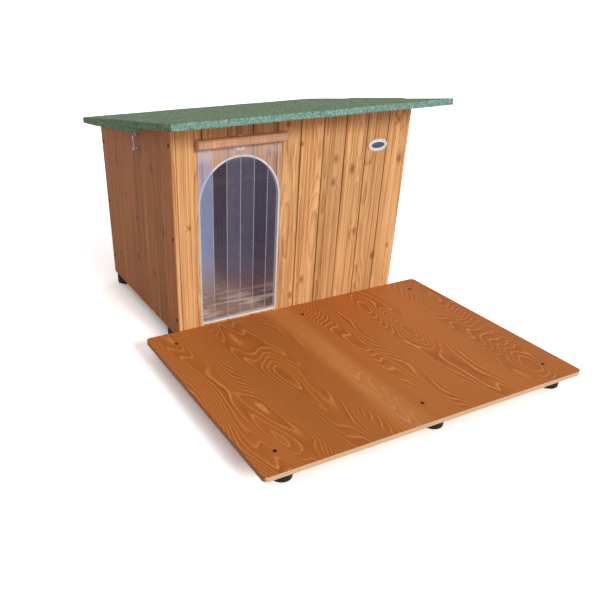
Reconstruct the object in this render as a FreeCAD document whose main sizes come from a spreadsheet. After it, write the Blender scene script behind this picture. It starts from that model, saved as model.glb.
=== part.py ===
import FreeCAD, Part
import os
import re
import Sketcher

# A lean-to timber kennel for a giant breed, with a plywood terrace in front of it.
#
# Frame: millimetres, +X to the right along the front, +Y from the front to the back, +Z up.
# Z = 0 is the floor that all the feet stand on, X = 0 is the middle of the house, and Y = 0 is
# the middle of the whole depth, from the terrace's front edge to the roof's back edge.

SIZES = {
    # walls of matchboard, each board standing on its end, the last of each wall ripped to fit
    "house_width": 1174,
    "board_width": 115,
    "board_thickness": 17,
    "board_gap": 0.4,
    "board_chamfer": 3.5,
    "house_depth": 900,
    "front_height": 905,
    "roof_slope": 8.1,
    "wall_top_gap": 0.3,
    # framing inside the walls
    "post_depth": 22,
    "post_width": 40,
    "rail_height": 40,
    "rail_thickness": 20,
    "rail_drop": 6,
    "mid_rail_height": 440,
    "stud_width": 34,
    # floor
    "bearer_height": 22,
    "bearer_width": 60,
    "floor_thickness": 18,
    "floor_board_count": 9,
    # feet
    "foot_height": 55,
    "foot_radius": 40,
    "foot_chamfer": 5,
    "foot_inset": 40,
    "front_foot_setback": 138,
    "foot_bore_radius": 11,
    "foot_bore_depth": 12,
    "foot_screw_length": 60,
    # arched doorway and its edging
    "door_from_left": 303,
    "door_half_width": 188,
    "door_bottom": 56,
    "door_spring": 582,
    "door_corner": 15,
    "trim_lip": 6,
    "trim_lining": 2,
    "trim_proud": 2,
    # batten and the slit curtain that it clamps
    "batten_length": 402,
    "batten_height": 35,
    "batten_depth": 30,
    "batten_bottom": 816,
    "batten_round": 11,
    "header_thickness": 5,
    "curtain_width": 386,
    "strip_count": 6,
    "strip_gap": 0.7,
    "strip_thickness": 1.8,
    "strip_bottom": 61,
    "strip_hang_gap": 0.3,
    # ventilation rose above the doorway
    "vent_radius": 30,
    "vent_flange": 4,
    "vent_neck": 25,
    "vent_depth": 12,
    "vent_height": 823,
    "vent_slot": 4,
    "vent_slot_length": 36,
    "vent_slot_pitch": 9,
    "vent_slot_count": 5,
    # blank oval plate on the front
    "plate_from_left": 1003,
    "plate_height": 749,
    "plate_width": 100,
    "plate_tall": 52,
    "plate_thickness": 1.6,
    # roof
    "deck_thickness": 20,
    "felt_thickness": 3,
    "roof_front_overhang": 178,
    "roof_rear_overhang": 58,
    "roof_side_overhang": 65,
    "skirt_drop": 3,
    "rear_sag_drop": 18,
    "rear_sag_start": 170,
    "rear_sag_end": 270,
    "felt_shoulder": 5,
    "rear_sheet_start": 146,
    "front_sheet_end": 520,
    "roof_batten_height": 30,
    "roof_batten_width": 45,
    "roof_batten_clearance": 12,
    "roof_batten_setback": 62,
    # hinges at the back wall
    "hinge_inset": 210,
    "hinge_length": 81,
    "hinge_knuckle_radius": 4.5,
    "hinge_knuckle_gap": 0.4,
    "hinge_pin_radius": 2.4,
    "hinge_pin_fit": 0.08,
    "hinge_leaf": 2,
    "hinge_leaf_reach": 42,
    "hinge_wall_gap": 0.5,
    # hook and eye on each side
    "hook_depth": 378,
    "eye_ring_radius": 6.5,
    "eye_wire_radius": 1.75,
    "eye_drop": 38,
    "eye_screw_length": 14,
    "eye_offset": 10,
    "wall_eye_reach": 9,
    "wall_eye_rise": 0.8,
    "hook_wire_radius": 2,
    "hook_offset": 20,
    "hook_length": 56,
    "hook_curl_radius": 6,
    "hook_sleeve_radius": 3.6,
    "hook_sleeve_length": 13,
    "hook_play": 0.3,
    "hook_pin_end": 3,
    "hook_pin_head": 1,
    # terrace
    "platform_width": 1496,
    "platform_depth": 1063,
    "platform_thickness": 21,
    "platform_corner": 20,
    "platform_bearer_height": 21,
    "platform_bearer_width": 95,
    "platform_bearer_length": 1440,
    "platform_row_front": 100,
    "platform_row_rear": 102,
    "platform_screw_front": 111,
    "platform_screw_side": 103,
    "platform_foot_front": 86,
    "platform_foot_left": 117,
    "platform_foot_right": 69,
    "platform_foot_shift": 46,
    # black wood screws
    "screw_head_radius": 5.5,
    "screw_head_height": 2.2,
    "screw_shank_radius": 2.2,
    "screw_length": 34,
    "screw_drill_fit": 0.1,
    "corner_screw_inset": 25,
    "corner_screw_front_low": 86,
    "corner_screw_front_middle": 459,
    "corner_screw_front_drop": 70,
    "corner_screw_rear_low": 99,
    "corner_screw_rear_middle": 397,
    "corner_screw_rear_drop": 89,
    "batten_screw_inset": 45,
    "hinge_screw_head_radius": 3.4,
    "hinge_screw_head_height": 1.4,
    "hinge_screw_shank_radius": 1.5,
    "hinge_screw_length": 13,
    "hinge_screw_inset": 14,
    # how far a cutting tool runs past the face that it cuts
    "tool_margin": 5,
}

# Lengths that follow from those sizes.
HALF_WIDTH = "(house_width / 2)"
INNER_HALF = "(house_width / 2 - board_thickness)"
ROOF_TOP_OF_FELT = "(wall_top_gap + deck_thickness + felt_thickness)"
REAR_REACH = (
    "(roof_rear_overhang + felt_thickness * cos(roof_slope)"
    f" + ({ROOF_TOP_OF_FELT} - felt_shoulder) * sin(roof_slope))"
)
FRONT = f"((platform_depth - house_depth - {REAR_REACH}) / 2)"
BACK = f"({FRONT} + house_depth)"
WALL_FOOT = "foot_height"
FLOOR_TOP = "(foot_height + bearer_height + floor_thickness)"
FRONT_TOP = "(foot_height + front_height)"
DOOR_X = f"(door_from_left - {HALF_WIDTH})"
BATTEN_Z = "(foot_height + batten_bottom)"
STRIP_PITCH = "(curtain_width / strip_count)"
DECK_FRONT = "(-roof_front_overhang / cos(roof_slope))"
DECK_REAR = "((house_depth + roof_rear_overhang) / cos(roof_slope))"
DECK_HALF = f"({HALF_WIDTH} + roof_side_overhang)"
PLATFORM_TOP = "(foot_height + platform_bearer_height + platform_thickness)"
HINGE_Y = f"({BACK} + hinge_wall_gap + hinge_knuckle_radius)"
HINGE_Z = (
    f"({FRONT_TOP} - (house_depth + hinge_wall_gap + hinge_knuckle_radius) * tan(roof_slope)"
    " - hinge_knuckle_radius / cos(roof_slope) - hinge_wall_gap)"
)

ALIAS = re.compile(r"\b(" + "|".join(sorted(SIZES, key=len, reverse=True)) + r")\b")

doc = FreeCAD.newDocument("kennel")
sheet = doc.addObject("Spreadsheet::Sheet", "Sizes")
nodes = []

# A sketch starts as a regular polygon of this radius, before its sizes pull it into shape.
ROUGH_RADIUS = 10


def fill_sheet():
    for row, (name, value) in enumerate(SIZES.items(), start=1):
        sheet.set(f"A{row}", name)
        sheet.set(f"B{row}", str(value))
        sheet.setAlias(f"B{row}", name)
    doc.recompute()


def bind(thing, prop, expression):
    """Ties a property to the sheet; names of sizes in the expression become its cells."""
    thing.setExpression(prop, ALIAS.sub(r"Sizes.\1", expression))


def locate(thing, corner, axis="vector(1; 0; 0)", angle="0"):
    x, y, z = corner
    bind(thing, "Placement", f"placement(vector({x}; {y}; {z}); rotation({axis}; {angle}))")


def on_roof(x, along, above):
    """A point on the sloping roof: along runs back down the slope, above is square to it."""
    y = f"({FRONT} + ({along}) * cos(roof_slope) + ({above}) * sin(roof_slope))"
    z = f"({FRONT_TOP} - ({along}) * sin(roof_slope) + ({above}) * cos(roof_slope))"
    return (x, y, z)


def node(thing):
    """Marks an object as a finished sub-part, which is written under its own label."""
    nodes.append(thing)
    return thing


def box(label, size, corner, angle="0"):
    piece = doc.addObject("Part::Box", label)
    for prop, expression in zip(("Length", "Width", "Height"), size):
        bind(piece, prop, expression)
    locate(piece, corner, angle=angle)
    return piece


def roof_box(label, size, corner):
    return box(label, size, on_roof(*corner), angle="-roof_slope")


AXIS_TURN = {
    "X": ("vector(0; 1; 0)", "90"),
    "Y": ("vector(1; 0; 0)", "-90"),
    "Z": ("vector(0; 0; 1)", "0"),
}


def rod(label, radius, length, start, along="Z", sloped=False):
    """A round bar from its start towards +X, +Y or +Z, or square to the roof."""
    piece = doc.addObject("Part::Cylinder", label)
    bind(piece, "Radius", radius)
    bind(piece, "Height", length)
    axis, angle = AXIS_TURN[along]
    if sloped:
        axis, angle = "vector(1; 0; 0)", "-roof_slope"
    locate(piece, start, axis, angle)
    return piece


def ball(label, radius, centre):
    piece = doc.addObject("Part::Sphere", label)
    bind(piece, "Radius", radius)
    locate(piece, centre)
    return piece


def cut(label, base, *tools):
    piece = base
    for count, tool in enumerate(tools, start=1):
        result = doc.addObject("Part::Cut", label if count == len(tools) else f"{label}_stage_{count}")
        result.Base = piece
        result.Tool = tool
        piece = result
    return piece


def fuse(label, *pieces):
    result = doc.addObject("Part::MultiFuse", label)
    result.Shapes = list(pieces)
    result.Refine = True
    return result


def common(label, base, tool):
    result = doc.addObject("Part::Common", label)
    result.Base = base
    result.Tool = tool
    return result


def group(label, pieces):
    result = doc.addObject("Part::Compound", label)
    result.Links = list(pieces)
    return result


def plane_of(body, role):
    return [feature for feature in body.Origin.OriginFeatures if feature.Role == role][0]


def outline(body, name, role, points):
    """A closed sketch of straight edges, each corner held by a size from the sheet."""
    sketch = body.newObject("Sketcher::SketchObject", name)
    sketch.AttachmentSupport = [(plane_of(body, role), "")]
    sketch.MapMode = "FlatFace"
    last = len(points)
    upright = FreeCAD.Vector(0, 0, 1)
    rough = [
        FreeCAD.Rotation(upright, 360 * index / last).multVec(FreeCAD.Vector(ROUGH_RADIUS, 0, 0))
        for index in range(last)
    ]
    for index in range(last):
        sketch.addGeometry(Part.LineSegment(rough[index], rough[(index + 1) % last]), False)
    for index in range(last):
        sketch.addConstraint(Sketcher.Constraint("Coincident", index, 2, (index + 1) % last, 1))
    for index, corner in enumerate(points):
        for kind, expression in zip(("DistanceX", "DistanceY"), corner):
            sketch.addConstraint(Sketcher.Constraint(kind, -1, 1, index, 1, 1.0))
            bind(sketch, f"Constraints[{sketch.ConstraintCount - 1}]", expression)
    return sketch


def board_row(label, run, pitch, height, start, turn, chamfer=True):
    """A row of boards over a run: one board's section, padded to its height and repeated."""
    body = doc.addObject("PartDesign::Body", label)
    body.AllowCompound = True
    width = f"({pitch} - board_gap)"
    if chamfer:
        points = [
            ("0", "board_chamfer"),
            ("board_chamfer", "0"),
            (f"{width} - board_chamfer", "0"),
            (width, "board_chamfer"),
            (width, "board_thickness"),
            ("0", "board_thickness"),
        ]
    else:
        points = [("0", "0"), (width, "0"), (width, "floor_thickness"), ("0", "floor_thickness")]
    section = outline(body, f"{label}_section", "XY_Plane", points)
    pad = body.newObject("PartDesign::Pad", f"{label}_board")
    pad.Profile = section
    bind(pad, "Length", height)
    row = body.newObject("PartDesign::LinearPattern", f"{label}_row")
    row.Originals = [pad]
    row.Direction = (section, ["H_Axis"])
    bind(row, "Length", f"{pitch} * (ceil({run} / {pitch}) - 1)")
    bind(row, "Occurrences", f"ceil({run} / {pitch})")
    body.Tip = row
    locate(body, start, *turn)
    return body


def foot(label, x, y):
    """A round black puck with a broken lower edge and a sunk bore for its screw from below."""
    body = doc.addObject("PartDesign::Body", label)
    points = [
        ("foot_bore_radius", "0"),
        ("foot_radius - foot_chamfer", "0"),
        ("foot_radius", "foot_chamfer"),
        ("foot_radius", "foot_height"),
        ("0", "foot_height"),
        ("0", "foot_bore_depth"),
        ("foot_bore_radius", "foot_bore_depth"),
    ]
    section = outline(body, f"{label}_section", "XZ_Plane", points)
    turned = body.newObject("PartDesign::Revolution", f"{label}_turned")
    turned.Profile = section
    turned.ReferenceAxis = (section, ["V_Axis"])
    turned.Angle = 360
    locate(body, (x, y, "0"))
    return body


def feet(label, places):
    """Equal pucks in one node, with the screws that hold them drilled through."""
    screws = Screws(f"{label}_screws", "screw_head_radius", "screw_head_height",
                    "screw_shank_radius", "foot_screw_length")
    for x, y in places:
        screws.add((x, y, "foot_bore_depth"), "Z", "+")
    drillings = screws.finish()
    pucks = [foot(f"{label}_{number}", x, y) for number, (x, y) in enumerate(places, start=1)]
    node(cut(label, group(f"{label}_pucks", pucks), drillings))
    return drillings


def arch(label, half_width, bottom, corner, start, depth):
    """A round-headed solid as deep as the wall, with small rounded lower corners."""
    left = f"({DOOR_X} - {half_width})"
    foot_z = f"(foot_height + {bottom})"
    spring = "(foot_height + door_spring)"
    body = box(f"{label}_sides", (f"2 * {half_width}", depth, f"{spring} - {foot_z} - {corner}"),
               (left, start, f"{foot_z} + {corner}"))
    sill = box(f"{label}_sill", (f"2 * {half_width} - 2 * {corner}", depth, corner),
               (f"{left} + {corner}", start, foot_z))
    head = rod(f"{label}_head", half_width, depth, (DOOR_X, start, spring), "Y")
    corners = [
        rod(f"{label}_corner_{side}", corner, depth,
            (f"{DOOR_X} {sign} ({half_width} - {corner})", start, f"{foot_z} + {corner}"), "Y")
        for side, sign in (("left", "-"), ("right", "+"))
    ]
    return fuse(label, body, sill, head, *corners)


def arch_ring(label, outer, inner, start, depth):
    """The band between two arches, each given as half width, bottom and corner radius."""
    inside = arch(f"{label}_inner", *inner, f"({start} - tool_margin)",
                  f"({depth} + 2 * tool_margin)")
    return cut(label, arch(f"{label}_outer", *outer, start, depth), inside)


class Screws:
    """A set of equal screws, and the drillings that they leave in what they hold."""

    def __init__(self, label, head_radius, head_height, shank_radius, length):
        self.label = label
        self.head_radius = head_radius
        self.head_height = head_height
        self.shank_radius = shank_radius
        self.length = length
        self.screws = []
        self.drills = []

    def add(self, point, along, towards, sloped=False):
        """Drives one screw from a point on the surface, along X, Y or Z, towards + or -."""
        x, y, z = point
        number = len(self.screws) + 1
        name = f"{self.label}_{number}"

        def shifted(shift):
            if sloped:
                px, p_along, p_above = point
                return on_roof(px, p_along, f"({p_above} + {shift})")
            moved = {"X": (f"({x} + {shift})", y, z), "Y": (x, f"({y} + {shift})", z)}
            return moved.get(along, (x, y, f"({z} + {shift})"))

        head_start = f"-({self.head_height})" if towards == "+" else "0"
        shank_start = "0" if towards == "+" else f"-({self.length})"
        head = rod(f"{name}_head", self.head_radius, self.head_height, shifted(head_start), along, sloped)
        shank = rod(f"{name}_shank", self.shank_radius, self.length, shifted(shank_start), along, sloped)
        self.screws.append(fuse(name, head, shank))
        drill_start = "0" if towards == "+" else f"-({self.length} + screw_drill_fit)"
        self.drills.append(rod(f"{name}_drill", f"{self.shank_radius} + screw_drill_fit",
                               f"{self.length} + screw_drill_fit", shifted(drill_start), along, sloped))

    def finish(self):
        node(group(self.label, self.screws))
        return group(f"{self.label}_drillings", self.drills)


SIDES = (("left", "-"), ("right", "+"))


# ---------------------------------------------------------------- walls

def roof_plane_cutter():
    """Everything above the underside of the roof, which trims walls, posts and rails."""
    return roof_box("roof_plane_cutter", (f"4 * {HALF_WIDTH}", "3 * house_depth", "front_height"),
                    (f"-2 * {HALF_WIDTH}", "-house_depth", "0"))


def corner_screws():
    """Three black screws down each corner of each side wall, driven into the corner posts."""
    screws = Screws("corner_screws", "screw_head_radius", "screw_head_height",
                    "screw_shank_radius", "screw_length")
    rear_height = "(front_height - house_depth * tan(roof_slope))"
    columns = (
        (f"({FRONT} + corner_screw_inset)", "corner_screw_front_low", "corner_screw_front_middle",
         "(front_height - corner_screw_front_drop)"),
        (f"({BACK} - corner_screw_inset)", "corner_screw_rear_low", "corner_screw_rear_middle",
         f"({rear_height} - corner_screw_rear_drop)"),
    )
    for side, sign in SIDES:
        for y, *heights in columns:
            for height in heights:
                point = (f"({sign}{HALF_WIDTH})", y, f"({WALL_FOOT} + {height})")
                screws.add(point, "X", "+" if side == "left" else "-")
    return screws.finish()


def batten_screws():
    """Three screws from inside, through the front wall and the curtain into the batten."""
    screws = Screws("batten_screws", "screw_head_radius", "screw_head_height",
                    "screw_shank_radius", "screw_length")
    for place in ("-(batten_length / 2 - batten_screw_inset)", "batten_screw_inset",
                  "(batten_length / 2 - batten_screw_inset)"):
        point = (f"({DOOR_X} + {place})", f"({FRONT} + board_thickness)", f"({BATTEN_Z} + batten_height / 2)")
        screws.add(point, "Y", "-")
    return screws.finish()


def walls(roof_plane, corner_drillings, batten_drillings, eye_drillings, hinge_drillings):
    upright = "vector(0; 0; 1)"
    run = f"(2 * {INNER_HALF})"
    between = box("between_sides", (run, "house_depth", "front_height"),
                  (f"(-{INNER_HALF})", FRONT, WALL_FOOT))
    whole = box("whole_house", ("house_width", "house_depth", "front_height"),
                (f"(-{HALF_WIDTH})", FRONT, WALL_FOOT))

    front = board_row("front_row", run, "board_width", "front_height",
                      (f"(-{INNER_HALF} + board_gap / 2)", FRONT, WALL_FOOT), (upright, "0"))
    doorway = arch("doorway", "door_half_width", "door_bottom", "door_corner",
                   f"({FRONT} - tool_margin)", "(board_thickness + 2 * tool_margin)")
    centre = (DOOR_X, FRONT, f"({WALL_FOOT} + vent_height)")
    vent_seat = rod("vent_seat", "vent_radius", "vent_flange", centre, "Y")
    vent_hole = rod("vent_hole", "vent_neck", "board_thickness + tool_margin", centre, "Y")
    node(cut("front_boards", common("front_ripped", front, between), roof_plane, doorway,
             vent_seat, vent_hole, batten_drillings))

    rear = board_row("rear_row", run, "board_width", "front_height",
                     (f"({INNER_HALF} - board_gap / 2)", BACK, WALL_FOOT), (upright, "180"))
    node(cut("rear_boards", common("rear_ripped", rear, between), roof_plane, hinge_drillings))

    last = f"({FRONT} + ceil(house_depth / board_width) * board_width - board_gap / 2)"
    rows = (
        ("left", (f"(-{HALF_WIDTH})", last, WALL_FOOT), "-90"),
        ("right", (HALF_WIDTH, f"({FRONT} + board_gap / 2)", WALL_FOOT), "90"),
    )
    for side, start, turn in rows:
        row = board_row(f"{side}_row", "house_depth", "board_width", "front_height", start, (upright, turn))
        node(cut(f"{side}_boards", common(f"{side}_ripped", row, whole), roof_plane,
                 corner_drillings, eye_drillings))


def wall_frame(roof_plane, corner_drillings):
    """Corner posts that stand on the floor, and rails that hold the boards together."""
    front_post = f"({FRONT} + board_thickness)"
    rear_post = f"({BACK} - board_thickness - post_depth)"
    for end, y in (("front", front_post), ("rear", rear_post)):
        for side, x in (("left", f"(-{INNER_HALF})"), ("right", f"({INNER_HALF} - post_width)")):
            post = box(f"{end}_{side}_post_blank", ("post_width", "post_depth", f"{FRONT_TOP} - {FLOOR_TOP}"),
                       (x, y, FLOOR_TOP))
            node(cut(f"corner_post_{end}_{side}", post, roof_plane, corner_drillings))

    inner_length = f"(2 * ({INNER_HALF} - post_width))"
    run_x = f"(-{INNER_HALF} + post_width)"
    front_rail_top = f"({FRONT_TOP} - (board_thickness + rail_thickness) * tan(roof_slope) - rail_drop)"
    node(box("front_top_rail", (inner_length, "rail_thickness", "rail_height"),
             (run_x, front_post, f"{front_rail_top} - rail_height")))
    rear_face = f"({BACK} - board_thickness - rail_thickness)"
    rear_rail_top = f"({FRONT_TOP} - house_depth * tan(roof_slope) - rail_drop)"
    node(box("rear_top_rail", (inner_length, "rail_thickness", "rail_height"),
             (run_x, rear_face, f"{rear_rail_top} - rail_height")))
    node(box("rear_mid_rail", (inner_length, "rail_thickness", "rail_height"),
             (run_x, rear_face, f"{WALL_FOOT} + mid_rail_height - rail_height")))

    stud_x = f"({DOOR_X} + door_half_width + trim_lip + 6)"
    node(box("door_stud", ("stud_width", "rail_thickness", f"{front_rail_top} - rail_height - {FLOOR_TOP}"),
             (stud_x, front_post, FLOOR_TOP)))

    node(box("front_mid_rail", (f"{INNER_HALF} - post_width - ({stud_x} + stud_width)",
                                "rail_thickness", "rail_height"),
             (f"({stud_x} + stud_width)", front_post, f"{WALL_FOOT} + mid_rail_height - rail_height")))

    clear_run = "(house_depth - 2 * board_thickness - 2 * post_depth)"
    start = "(board_thickness + post_depth)"
    for side, x in (("left", f"(-{INNER_HALF})"), ("right", f"({INNER_HALF} - rail_thickness)")):
        node(box(f"{side}_mid_rail", ("rail_thickness", clear_run, "rail_height"),
                 (x, f"({FRONT} + {start})", f"{WALL_FOOT} + mid_rail_height - rail_height")))
        top = roof_box(f"{side}_top_rail_blank",
                       ("rail_thickness", "2 * house_depth", "rail_height"),
                       (x, "-house_depth / 2", "-rail_drop - rail_height"))
        room = box(f"{side}_top_rail_room", ("rail_thickness", clear_run, "2 * front_height"),
                   (x, f"({FRONT} + {start})", "0"))
        node(common(f"{side}_top_rail", top, room))


def floor():
    run = f"(2 * {INNER_HALF})"
    pitch = f"({run} / floor_board_count)"
    depth = "(house_depth - 2 * board_thickness)"
    row = board_row("floor_boards", f"({run} - board_gap)", pitch, depth,
                    (f"(-{INNER_HALF} + board_gap / 2)", f"({BACK} - board_thickness)",
                     f"({WALL_FOOT} + bearer_height)"), ("vector(1; 0; 0)", "90"), chamfer=False)
    node(row)
    foot_x = f"({HALF_WIDTH} - foot_inset)"
    drillings = feet("house_feet", [
        (f"({sign}{foot_x})", y)
        for y in (f"({FRONT} + front_foot_setback)", f"({BACK} - foot_inset)")
        for side, sign in SIDES
    ])
    places = (
        ("front", f"({FRONT} + front_foot_setback - bearer_width / 2)"),
        ("middle", f"({FRONT} + house_depth / 2 - bearer_width / 2)"),
        ("rear", f"({BACK} - board_thickness - bearer_width)"),
    )
    for name, y in places:
        bearer = box(f"floor_bearer_{name}_blank", (f"2 * {INNER_HALF}", "bearer_width", "bearer_height"),
                     (f"(-{INNER_HALF})", y, WALL_FOOT))
        node(cut(f"floor_bearer_{name}", bearer, drillings))


# ---------------------------------------------------------------- doorway

def door_trim():
    """A white channel pushed over the cut edge of the doorway: two lips and a lining."""
    edge = ("(door_half_width)", "(door_bottom)", "(door_corner)")
    inner = ("(door_half_width - trim_lining)", "(door_bottom + trim_lining)", "(door_corner - trim_lining)")
    outer = ("(door_half_width + trim_lip)", "(door_bottom - trim_lip)", "(door_corner + trim_lip)")
    front_lip = arch_ring("trim_front_lip", outer, inner, f"({FRONT} - trim_proud)", "trim_proud")
    lining = arch_ring("trim_lining_band", edge, inner, FRONT, "board_thickness")
    rear_lip = arch_ring("trim_rear_lip", outer, inner, f"({FRONT} + board_thickness)", "trim_proud")
    node(fuse("door_trim", front_lip, lining, rear_lip))


def round_vent():
    """A flush white rose let into the boards, with upright slots through it."""
    centre = f"({WALL_FOOT} + vent_height)"
    flange = rod("vent_flange_disc", "vent_radius", "vent_flange", (DOOR_X, FRONT, centre), "Y")
    neck = rod("vent_neck_disc", "vent_neck", "vent_depth", (DOOR_X, FRONT, centre), "Y")
    slots = [
        box(f"vent_slot_{number}", ("vent_slot", "vent_depth + 2 * tool_margin", "vent_slot_length"),
            (f"({DOOR_X} + ({number} - (vent_slot_count - 1) / 2) * vent_slot_pitch - vent_slot / 2)",
             f"({FRONT} - tool_margin)", f"({centre} - vent_slot_length / 2)"))
        for number in range(SIZES["vent_slot_count"])
    ]
    node(cut("round_vent", fuse("vent_blank", flange, neck), fuse("vent_slots", *slots)))


def curtain(batten_drillings):
    """A round-faced batten that clamps the curtain's doubled head, and six hanging strips."""
    left = f"({DOOR_X} - batten_length / 2)"
    back_y = f"({FRONT} - header_thickness)"
    front_y = f"({back_y} - batten_depth)"
    core = box("batten_core", ("batten_length", "batten_depth - batten_round", "batten_height"),
               (left, f"({front_y} + batten_round)", BATTEN_Z))
    face = box("batten_face", ("batten_length", "batten_round", "batten_height - 2 * batten_round"),
               (left, front_y, f"({BATTEN_Z} + batten_round)"))
    edges = [
        rod(f"batten_edge_{edge}", "batten_round", "batten_length",
            (left, f"({front_y} + batten_round)", z), "X")
        for edge, z in (("low", f"({BATTEN_Z} + batten_round)"),
                        ("high", f"({BATTEN_Z} + batten_height - batten_round)"))
    ]
    node(cut("curtain_batten", fuse("batten_blank", core, face, *edges), batten_drillings))

    header = box("curtain_header_blank", ("curtain_width", "header_thickness", "batten_height"),
                 (f"({DOOR_X} - curtain_width / 2)", back_y, BATTEN_Z))
    node(cut("curtain_header", header, batten_drillings))

    hang = f"({BATTEN_Z} - strip_hang_gap)"
    length = f"(batten_bottom - strip_hang_gap - strip_bottom)"
    for number in range(1, SIZES["strip_count"] + 1):
        x = f"({DOOR_X} - curtain_width / 2 + ({number} - 1) * {STRIP_PITCH} + strip_gap / 2)"
        node(box(f"curtain_strip_{number}", (f"{STRIP_PITCH} - strip_gap", "strip_thickness", length),
                 (x, back_y, f"({hang} - {length})")))


def oval_plate():
    """A plain oval plate on the front boards."""
    plate = doc.addObject("Part::Ellipse", "plate_outline")
    bind(plate, "MajorRadius", "plate_width / 2")
    bind(plate, "MinorRadius", "plate_tall / 2")
    place = (f"(plate_from_left - {HALF_WIDTH})", FRONT, f"({WALL_FOOT} + plate_height)")
    locate(plate, place, "vector(1; 0; 0)", "90")
    body = doc.addObject("Part::Extrusion", "oval_plate")
    body.Base = plate
    body.DirMode = "Custom"
    body.Dir = FreeCAD.Vector(0, -1, 0)
    body.Solid = True
    bind(body, "LengthFwd", "plate_thickness")
    node(body)


# ---------------------------------------------------------------- roof

def roof_profile(label, half, points):
    """A solid of one profile, seen from the side, that runs across the roof's whole width."""
    body = doc.addObject("PartDesign::Body", label)
    section = outline(body, f"{label}_section", "YZ_Plane", points)
    pad = body.newObject("PartDesign::Pad", f"{label}_pad")
    pad.Profile = section
    bind(pad, "Length", f"2 * {half}")
    locate(body, on_roof(f"(-{half})", "0", "0"), angle="-roof_slope")
    return body


def rear_felt(room):
    """The rear sheet: snug at both ends, it hangs down loosely along the middle of each side."""
    start = "(rear_sheet_start / cos(roof_slope))"
    rear = f"({DECK_REAR} + felt_thickness)"
    sag_start = f"({start} + rear_sag_start)"
    sag_end = f"({start} + rear_sag_end)"
    points = [
        (start, "(wall_top_gap - rear_sag_drop / 2)"),
        (sag_start, "(wall_top_gap - rear_sag_drop)"),
        (sag_end, "(wall_top_gap - rear_sag_drop)"),
        (rear, "(wall_top_gap - skirt_drop)"),
        (rear, f"({ROOF_TOP_OF_FELT} - felt_shoulder)"),
        (f"({rear} - felt_shoulder)", ROOF_TOP_OF_FELT),
        (start, ROOF_TOP_OF_FELT),
    ]
    blank = roof_profile("rear_felt_blank", f"({DECK_HALF} + felt_thickness)", points)
    node(cut("roof_felt_rear", blank, room))


def front_felt(room):
    """The front sheet: tight over the front edge, it laps over the rear sheet by one layer."""
    start = "(rear_sheet_start / cos(roof_slope))"
    front = f"({DECK_FRONT} - felt_thickness)"
    end = "(front_sheet_end / cos(roof_slope))"
    under = "(wall_top_gap - skirt_drop)"
    flat = roof_profile("front_felt_flat", f"({DECK_HALF} + felt_thickness)", [
        (front, under),
        (start, under),
        (start, ROOF_TOP_OF_FELT),
        (front, ROOF_TOP_OF_FELT),
    ])
    lap = roof_profile("front_felt_lap", f"({DECK_HALF} + 2 * felt_thickness)", [
        (f"({start} - felt_thickness)", under),
        (end, under),
        (end, f"({ROOF_TOP_OF_FELT} + felt_thickness)"),
        (f"({start} - felt_thickness)", f"({ROOF_TOP_OF_FELT} + felt_thickness)"),
    ])
    lapped = roof_box("lapped_sheet", (f"2 * ({DECK_HALF} + felt_thickness)", "house_depth",
                                       f"{ROOF_TOP_OF_FELT} + 2 * rear_sag_drop"),
                      (f"(-{DECK_HALF} - felt_thickness)", start, "(-2 * rear_sag_drop)"))
    node(cut("roof_felt_front", fuse("front_felt_blank", flat, lap), room, lapped))


def roof(eye_drillings, hinge_drillings):
    width = f"(2 * {DECK_HALF})"
    length = f"({DECK_REAR} - {DECK_FRONT})"
    deck = roof_box("deck_blank", (width, length, "deck_thickness"),
                    (f"(-{DECK_HALF})", DECK_FRONT, "wall_top_gap"))
    node(cut("roof_deck", deck, eye_drillings, hinge_drillings))

    below = "(4 * deck_thickness)"
    room = roof_box("deck_room", (width, length, f"deck_thickness + {below}"),
                    (f"(-{DECK_HALF})", DECK_FRONT, f"(wall_top_gap - {below})"))
    rear_felt(room)
    front_felt(room)

    span = f"(2 * ({INNER_HALF} - rail_thickness - roof_batten_clearance))"
    first = "(roof_batten_setback / cos(roof_slope))"
    last = "((house_depth - roof_batten_setback) / cos(roof_slope) - roof_batten_width)"
    for name, along in (("front", first), ("rear", last)):
        node(roof_box(f"roof_batten_{name}", (span, "roof_batten_width", "roof_batten_height"),
                      (f"(-{span} / 2)", along, "(wall_top_gap - roof_batten_height)")))


# ---------------------------------------------------------------- hinges

def hinge_screws():
    """Two small screws through each leaf: into the rear wall, and up into the roof deck."""
    args = ("hinge_screw_head_radius", "hinge_screw_head_height", "hinge_screw_shank_radius",
            "hinge_screw_length")
    wall = Screws("hinge_wall_screws", *args)
    lid = Screws("hinge_roof_screws", *args)
    for side, sign in SIDES:
        centre = f"({sign}({HALF_WIDTH} - hinge_inset))"
        for shift in ("-", "+"):
            x = f"({centre} {shift} (hinge_length / 2 - hinge_screw_inset))"
            height = f"({HINGE_Z} - hinge_leaf_reach + hinge_screw_inset)"
            wall.add((x, f"({BACK} + hinge_leaf)", height), "Y", "-")
            along = (f"((house_depth + hinge_wall_gap + hinge_knuckle_radius) / cos(roof_slope)"
                     " + hinge_leaf_reach - hinge_screw_inset)")
            lid.add((x, along, "(wall_top_gap - hinge_leaf)"), "Z", "+", sloped=True)
    return wall.finish(), lid.finish()


# A butt hinge's knuckles: the wall leaf has the outer two, and the roof leaf the middle one.
KNUCKLES = 3


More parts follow.
